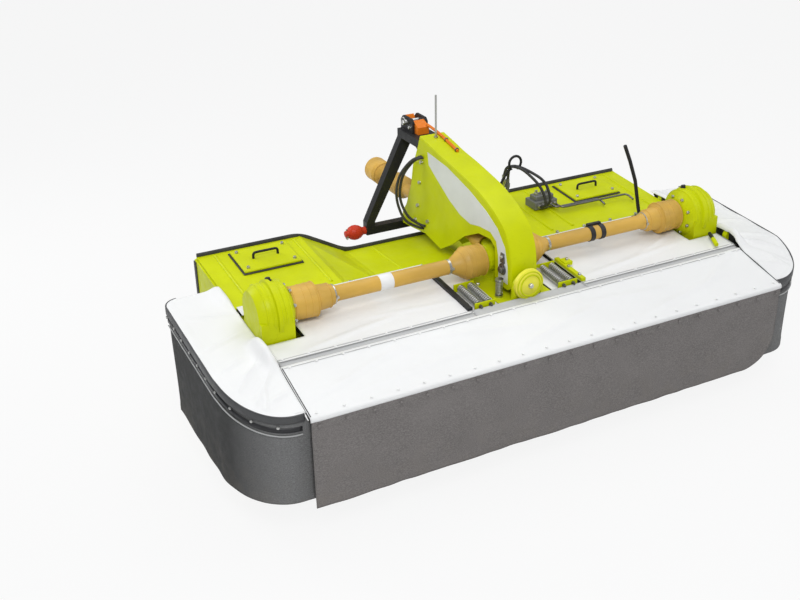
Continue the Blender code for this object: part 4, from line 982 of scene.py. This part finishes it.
def drive_trim(word, side):
    """Rims and clamp bands of a shaft guard, and the ribs, bolts and filler plug of the end gearbox."""
    rings = [(0.112, 0.0835, 0.0042), (0.150, 0.0850, 0.0026), (0.180, 0.0862, 0.0026),
        (0.209, 0.0868, 0.0034), (0.238, 0.0700, 0.0034), (0.991, 0.0610, 0.0030), (1.056, 0.0665, 0.0036),
        (1.071, 0.0868, 0.0042), (1.105, 0.0864, 0.0026), (1.140, 0.0858, 0.0026), (1.190, 0.0842, 0.0046)]
    shells = [hoop((side * x, disc_line_y, shaft_z), (1, 0, 0), radius, wire) for x, radius, wire in rings]
    piece(f"guard_rims_{word}", shells, guard_tan)
    bands = [(0.302, 0.0412, 0.014), (0.962, 0.0520, 0.012)]
    screw_x, screw_y, screw_z = np.array([(-0.006, 0.006), (-0.010, 0.002), (0, 0.012)])
    hoops = [turned((side * x, disc_line_y, shaft_z), (side, 0, 0), [(0, r), (w, r)]) for x, r, w in bands]
    screws = [block(side * x + screw_x, disc_line_y - r + screw_y, shaft_z + screw_z) for x, r, _ in bands]
    piece(f"guard_bands_{word}", hoops + screws, steel_bright)
    centre = np.array([0, gearbox_y, shaft_z])
    ribs = [hoop(centre + (side * (gearbox_in + x), 0, 0), (1, 0, 0), 0.1385, 0.0045, 64)
        for x in (0.040, 0.066, 0.134, 0.160)]
    piece(f"gearbox_ribs_{word}", ribs, lime)
    angle = np.radians(np.arange(20, 380, 45))
    heads = centre + columns(side * (gearbox_in + 0.0135), 0.105 * np.cos(angle), 0.105 * np.sin(angle))
    bolted(f"gearbox_bolts_{word}", heads, (-side, 0, 0), 0.016, 0.010)
    plug = (side * (gearbox_in + 0.085), gearbox_y + 0.045, shaft_z + 0.128)
    profile = [(0, 0.019), (0.010, 0.019), (0.011, 0.014), (0.020, 0.014), (0.024, 0.010)]
    piece(f"gearbox_plug_{word}", turned(plug, (0, 0.3, 1), profile, 20), plastic_black)


def guard_extras():
    """A pale sleeve, a black clamp, and the rims, mouth and splined end of the input guard."""
    sleeve = turned((-0.714, disc_line_y, shaft_z), (1, 0, 0),
        [(0, 0.0406), (0.001, 0.0414), (0.073, 0.0414), (0.074, 0.0406)], 40)
    piece("guard_sleeve", sleeve, tarp_white)
    clamp = [*(turned((x, disc_line_y, shaft_z), (1, 0, 0), [(0, 0.044), (0.030, 0.044)])
            for x in (0.585, 0.655)), block((0.590, 0.680), (-0.392, -0.372), (0.890, 0.918))]
    piece("guard_clamp", clamp, plastic_black, bevel=0.0015)
    rims = [hoop((0, y, input_z), (0, 1, 0), r, wire)
        for y, r, wire in ((1.094, 0.0716, 0.0046), (1.060, 0.0728, 0.0026), (0.975, 0.0725, 0.0034),
            (0.700, 0.0660, 0.0034))]
    piece("input_rims", rims, guard_tan, "input_shaft")
    angle = 2 * np.pi * np.arange(36) / 36
    spline = 0.020 + 0.0025 * np.sign(np.sin(6 * angle))
    outline = columns(spline * np.cos(angle), input_z + spline * np.sin(angle))
    piece("input_spline", prism("Y", outline, 1.1052, 1.1120), steel_bright, "input_shaft")
    piece("input_mouth", hoop((0, 1.1035, input_z), (0, 1, 0), 0.045, 0.004), rubber_black, "input_shaft")
    plug = (0.035, -0.350, 0.934)
    profile = [(0, 0.016), (0.010, 0.016), (0.014, 0.009), (0.026, 0.009)]
    piece("middle_plug", turned(plug, (0, 0, 1), profile, 20), plastic_black)


# Hood
def hood_top(x, y):
    """Top of the hood cover: one sloped plane between the shoulders, another on them, and a rise that joins
    them.
    """
    share = (y - deck_rear) / 0.611
    raised = np.interp(x, [-0.798, -0.5185, 0.2195, 0.499], [1, 0, 0, 1])
    middle, shoulder = 0.700 - 0.030 * share, 0.780 + 0.046 * share
    return float(middle + (shoulder - middle) * raised)


def hood_trim():
    """Rubber strip on the rear edge, rubber blocks at the corners, pressed beads and bolts."""
    breaks = (-1.3960, -0.798, -0.5185, 0.2195, 0.499, 1.3960)
    edge = rounded_path([(x, hood_rear, hood_top(x, 0.45) + 0.003) for x in breaks], 0.06)
    piece("hood_edge_rubber", swept(edge, 0.0165, 14, (0, 1, 0), flat=0.55), rubber_black)
    for word, side in sides:
        angle = [(1.4085, 0.4230), (1.4155, 0.4230), (1.4155, 0.4580), (1.3820, 0.4580), (1.3820, 0.4515),
            (1.4085, 0.4515)]
        corner = prism("Z", [(side * x, y) for x, y in angle], 0.596, 0.806)
        piece(f"corner_rubber_{word}", corner, rubber_black, bevel=0.0015)
    front = [(x, -0.140, hood_top(x, -0.140)) for x in np.linspace(-1.32, 1.32, 15)]
    bolted("hood_bolts", front, (0, 0, 1), 0.018)
    rear = [(x, hood_rear - 0.003, 0.615) for x in np.linspace(-1.32, 1.32, 15)]
    bolted("rear_bolts", rear, (0, 1, 0), 0.018)
    ledge = np.array([(x, hood_rear, 0.640) for x in np.linspace(-1.380, 1.380, 24)])
    piece("rear_bead", swept(ledge, 0.007, 12, (0, 1, 0)), lime)
    ys = np.linspace(-0.105, 0.415, 14)
    beads = [swept([(x, y, hood_top(x, y) - 0.001) for y in ys], 0.009)
        for x in (-1.305, -0.845, 0.555, 0.700, 1.305, -0.36, 0.02)]
    piece("hood_beads", beads, lime)


def hood_lids():
    """A lid on a seal over each shoulder, with its bolts and a bent grip."""
    front, rear = 0.150, 0.395
    for word, low, high in (("left", -1.230, -0.905), ("right", 0.900, 1.225)):
        def lid(grow, base, top):
            corners = ((front - grow, base), (rear + grow, base), (rear + grow, top), (front - grow, top))
            outline = [(y, hood_top(low, front if y < rear else rear) + level) for y, level in corners]
            return prism("X", outline, low - grow, high + grow)

        piece(f"lid_seal_{word}", lid(0.008, 0.0004, 0.007), rubber_black, bevel=0.002)
        piece(f"lid_{word}", lid(0, 0.0072, 0.020), lime, bevel=0.004)
        heads = [(x, y, hood_top(x, y) + 0.0201) for x in (low + 0.03, high - 0.03) for y in (0.180, 0.365)]
        bolted(f"lid_bolts_{word}", heads, (0, 0, 1), 0.017)
        middle = (low + high) / 2
        foot = hood_top(middle, 0.27) + 0.018
        bends = ((-0.07, 0), (-0.07, 0.035), (0.07, 0.035), (0.07, 0))
        grip = rounded_path([(middle + across, 0.27, foot + rise) for across, rise in bends], 0.02)
        piece(f"lid_grip_{word}", swept(grip, 0.007, 12, (0, 1, 0)), black)


def valve_trim():
    """The valve block on the right shoulder, with its ports and caps and two bent steel pipes."""
    base = hood_top(0.70, 0.20)
    port_z = base + 0.028
    valve = [block((0.600, 0.760), (0.150, 0.260), (base + 0.001, base + 0.050)),
        block((0.615, 0.745), (0.170, 0.235), (base + 0.049, base + 0.078))]
    piece("valve_block", valve, plastic_grey, bevel=0.004)
    port = [(0, 0.013), (0.012, 0.013), (0.013, 0.010), (0.024, 0.010)]
    cap = [(0, 0.014), (0.016, 0.014), (0.017, 0.008), (0.030, 0.008)]
    ports = [turned((x, 0.150, port_z), (0, -1, 0), port, 6) for x in (0.625, 0.655, 0.705, 0.735)]
    ports += [turned((x, 0.203, base + 0.077), (0, 0, 1), cap, 16) for x in (0.640, 0.680, 0.720)]
    piece("valve_ports", ports, steel_bright)
    pipes = []
    for k, x in enumerate((0.705, 0.735)):
        end, back = 1.02 + 0.20 * k, 0.02 * k
        corners = [(x, 0.128, port_z), (x, 0.085 - back, base + 0.026), (end, 0.085 - back, base + 0.022),
            (end, 0.02 - back, base + 0.008)]
        pipes.append(swept(rounded_path(corners, 0.03), 0.0065))
    piece("steel_pipes", pipes, steel_dark)


def hoses():
    """Hydraulic hoses: two through the holder's loop, with parked couplings, and two beside the arm."""
    base = hood_top(0.70, 0.20)
    for k, x in enumerate((0.625, 0.655)):
        corners = [(x, 0.129, base + 0.028), (x, 0.060, base + 0.060 + 0.02 * k),
            (x - 0.02, 0.100, base + 0.170 + 0.03 * k), (0.545 + 0.016 * k, 0.200, 1.062),
            (0.537 + 0.018 * k, 0.300, 1.054), (0.530 + 0.02 * k, 0.372, 1.030),
            (0.525 + 0.03 * k, 0.392, 0.960 - 0.03 * k)]
        path = rounded_path(corners, 0.06, 9)
        made = piece(f"hydraulic_hose_{k}", swept(path, 0.0085, 12, (1, 0, 0.2)), rubber_black)
        start = path[-1]
        coupling = turned(start, (0, 0.02, -1), [(-0.012, 0.011), (0.016, 0.011), (0.017, 0.015),
                (0.042, 0.015), (0.043, 0.0115), (0.070, 0.0115), (0.071, 0.008), (0.080, 0.008)], 20)
        end = piece(f"hose_coupling_{k}", coupling, plastic_grey if k else steel_bright)
    for k in range(2):
        out = 0.022 * k
        corners = [(-0.0780, 0.300 + out, 1.215), (-0.120 - out, 0.330, 1.200),
            (-0.175 - out, 0.380, 1.100), (-0.190 - out, 0.395, 0.960), (-0.150 - out, 0.370, 0.840 - out),
            (-0.095, 0.300 + out, 0.800 - out), (-0.0780, 0.280 + out, 0.800 - out)]
        path = rounded_path(corners, 0.07, 9)
        made = piece(f"arm_hose_{k}", swept(path, 0.008, 12, (0.1, 1, 0)), rubber_black, "hitch_arm")


# Arm and hitch frame
def arm_trim():
    """Silver bands, the rounded crown along the top, lock plates, bolts, and the orange release rod."""
    band = [(0.250, 1.262), (0.025, 1.243), (-0.226, 1.188), (-0.400, 1.130), (-0.510, 1.075),
        (-0.585, 0.995), (-0.615, 0.900), (-0.620, 0.800), (-0.530, 0.800), (-0.522, 0.930),
        (-0.500, 1.000), (-0.440, 1.030), (-0.330, 1.022), (-0.231, 1.000), (-0.120, 1.015), (0.000, 1.060),
        (0.150, 1.140), (0.235, 1.190)]
    crown = np.array([(-0.6545, 0.800), (-0.652, 0.900), (-0.632, 1.000), (-0.580, 1.085), (-0.480, 1.150),
            (-0.380, 1.192), (-0.281, 1.222), (-0.060, 1.263), (0.100, 1.285), (0.200, 1.305),
            (0.335, 1.3290)])
    arm_bolt_places = [(0.320, 1.180), (0.345, 1.050), (0.370, 0.900), (0.250, 0.840), (0.400, 0.800)]
    for word, side in sides:
        piece(f"arm_band_{word}", prism("X", band, side * 0.0762, side * 0.0770), band_silver, "hitch_arm",
            smooth=False)
        start = (side * 0.0768, -0.570, 0.870)
        pin = [turned(start, (side, 0, 0), [(0, 0.032), (0.005, 0.032), (0.006, 0.019), (0.020, 0.019),
                    (0.022, 0.016)])]
        plate = [(-0.590, 0.905), (-0.550, 0.905), (-0.555, 0.960), (-0.585, 0.960)]
        pin.append(prism("X", plate, side * 0.0772, side * 0.0832))
        piece(f"pin_plate_{word}", pin, steel_dark, "hitch_arm", bevel=0.001)
        heads = [(side * 0.0832, -0.570, 0.940)]
        bolted(f"pin_bolts_{word}", heads, (side, 0, 0), 0.016, body="hitch_arm")
        spots = [(side * 0.0760, y, z) for y, z in arm_bolt_places]
        bolted(f"arm_bolts_{word}", spots, (side, 0, 0), 0.020, 0.010, body="hitch_arm")
    curve = smooth_curve(crown, 90)
    way = directions(curve)
    out = columns(0, -way[:, 1], way[:, 0])
    section = np.array([(-0.0782, -0.016), (-0.0782, -0.001), (-0.0762, 0.0022), (0.0762, 0.0022),
            (0.0782, -0.001), (0.0782, -0.016)])
    rings = columns(0, *curve.T)[:, None] + section[:, :1] * (1, 0, 0) + section[:, 1:] * out[:, None]
    piece("arm_crown", capped(rings), lime, "hitch_arm")
    rod = rounded_path([(0.034, 0.100, 1.2950), (0.034, 0.200, 1.3160), (0.034, 0.335, 1.3400),
            (0.020, 0.430, 1.3580)], 0.04)
    piece("release_rod", swept(rod, 0.0085, 12, (1, 0, 0)), orange, "hitch_arm")
    eyes = [hoop((0.034, y, z), (0, 1, 0), 0.011, 0.0030, 24)
        for y, z in ((0.110, 1.2975), (0.230, 1.3215))]
    piece("release_eyes", eyes, steel_dark, "hitch_arm")


def hitch_trim():
    """Top link pin with its ring, bolts on the cheeks, and linch pins in the lower pins."""
    pin = turned((-0.078, 0.556, 1.350), (1, 0, 0),
        [(0, 0.014), (0.004, 0.016), (0.150, 0.016), (0.156, 0.012)], 24)
    piece("top_pin", [pin, hoop((-0.070, 0.556, 1.366), (1, 0, 0), 0.016, 0.0025, 32)], steel_bright,
        "hitch_arm")
    for word, side in sides:
        cheek = [(side * 0.0512, 0.600, 1.290), (side * 0.0512, 0.510, 1.330)]
        bolted(f"cheek_bolts_{word}", cheek, (side, 0, 0), 0.018, body="hitch_arm")
        ring = [hoop((side * 0.440, 0.600, 0.690), (1, 0, 0), 0.020, 0.0026, 32),
            turned((side * 0.440, 0.600, 0.735), (0, 0, -1), [(0, 0.0045), (0.060, 0.0045)], 12)]
        piece(f"linch_pin_{word}", ring, steel_bright, "hitch_arm")
        leg = [(side * x, 0.6265, 0.705) for x in (0.262, 0.200)]
        bolted(f"frame_bolts_{word}", leg, (0, 1, 0), 0.022, 0.011, body="hitch_arm")


# Low parts
def cutting_trim():
    """Hexagon bolts along the cutter bar, and the nut and knife bolts of each disc."""
    xs = np.linspace(-1.29, 1.29, 29)
    low = [(x, y, 0.0702) for x in xs for y in (-0.464, -0.270)]
    bolted("bar_bolts", low, (0, 0, 1), 0.018, paint=steel_worn)
    for number in range(1, 8):
        x = disc_pitch * (number - 4)
        turn = math.pi / 2 * ((number - 1) % 2)
        way = np.array([math.cos(turn), math.sin(turn)])
        if 1 < number < 7:
            heads = [(x, disc_line_y, 0.1395)]
            bolted(f"disc_nut_{number}", heads, (0, 0, 1), 0.030, 0.014, body=f"disc_{number}")
        knives = [(x + reach * way[0], disc_line_y + reach * way[1], 0.1015)
            for reach in (-knife_reach, knife_reach)]
        bolted(f"knife_bolts_{number}", knives, (0, 0, 1), 0.020, 0.010, body=f"disc_{number}")


def latch_bar():
    """Round black bar with a lime end, beside the right gearbox."""
    start, middle, end = (1.318, -0.585, 0.786), (1.288, -0.650, 0.783), (1.258, -0.715, 0.776)
    piece("latch_bar", swept([start, middle], 0.011, 14), black, bevel=0.002)
    piece("latch_end", swept([middle, end], 0.0125, 14), lime, bevel=0.002)


# Paint on the part's own solids
painted = [
    # A star stands for left and for right
    (lime, "arm cradle hood_cover rear_bar rear_beam centre_gearbox"),
    (lime, "end_gearbox_* end_plate_* disc_1 disc_7"),
    # The hood's shell takes the darker lime: painted shade.
    (lime_shaded, "hood_shell"),
    (black, "headstock pivot_block front_beam hose_holder adjust_lever flap_frame"),
    (black, "deck_frame_* side_frame_* parking_leg_*"),
    (red, "hitch_pin_*"),
    (orange, "top_hook"),
    (guard_tan, "shaft_guard_* input_guard"),
    (cap_yellow, "pivot_drum"),
    (steel_bright, "relief_spring_* marker_rod"),
    (steel_worn, "cutterbar conditioner_rotor disc_2 disc_3 disc_4 disc_5 disc_6 swath_board_*"),
]
for paint, names in painted:
    for name in names.split():
        for word, _ in sides:
            materials = nodes[name.replace("*", word)].data.materials
            materials.clear()
            materials.append(paint)

photographers_camera()
studio()
for word, side in sides:
    deck_fabric(word, side)
    side_fabric(word, side)
    side_curtain_cloth(word, side)
    bindings(word, side)
    spring_coils(word, side)
    deck_springs(word, side)
    round_shells(word, side)
    drive_trim(word, side)
flap_fabric()
fold_strip()
flap_curtain_cloth()
front_rivets()
opening_trim()
guard_extras()
hood_trim()
hood_lids()
valve_trim()
hoses()
arm_trim()
hitch_trim()
cutting_trim()
latch_bar()
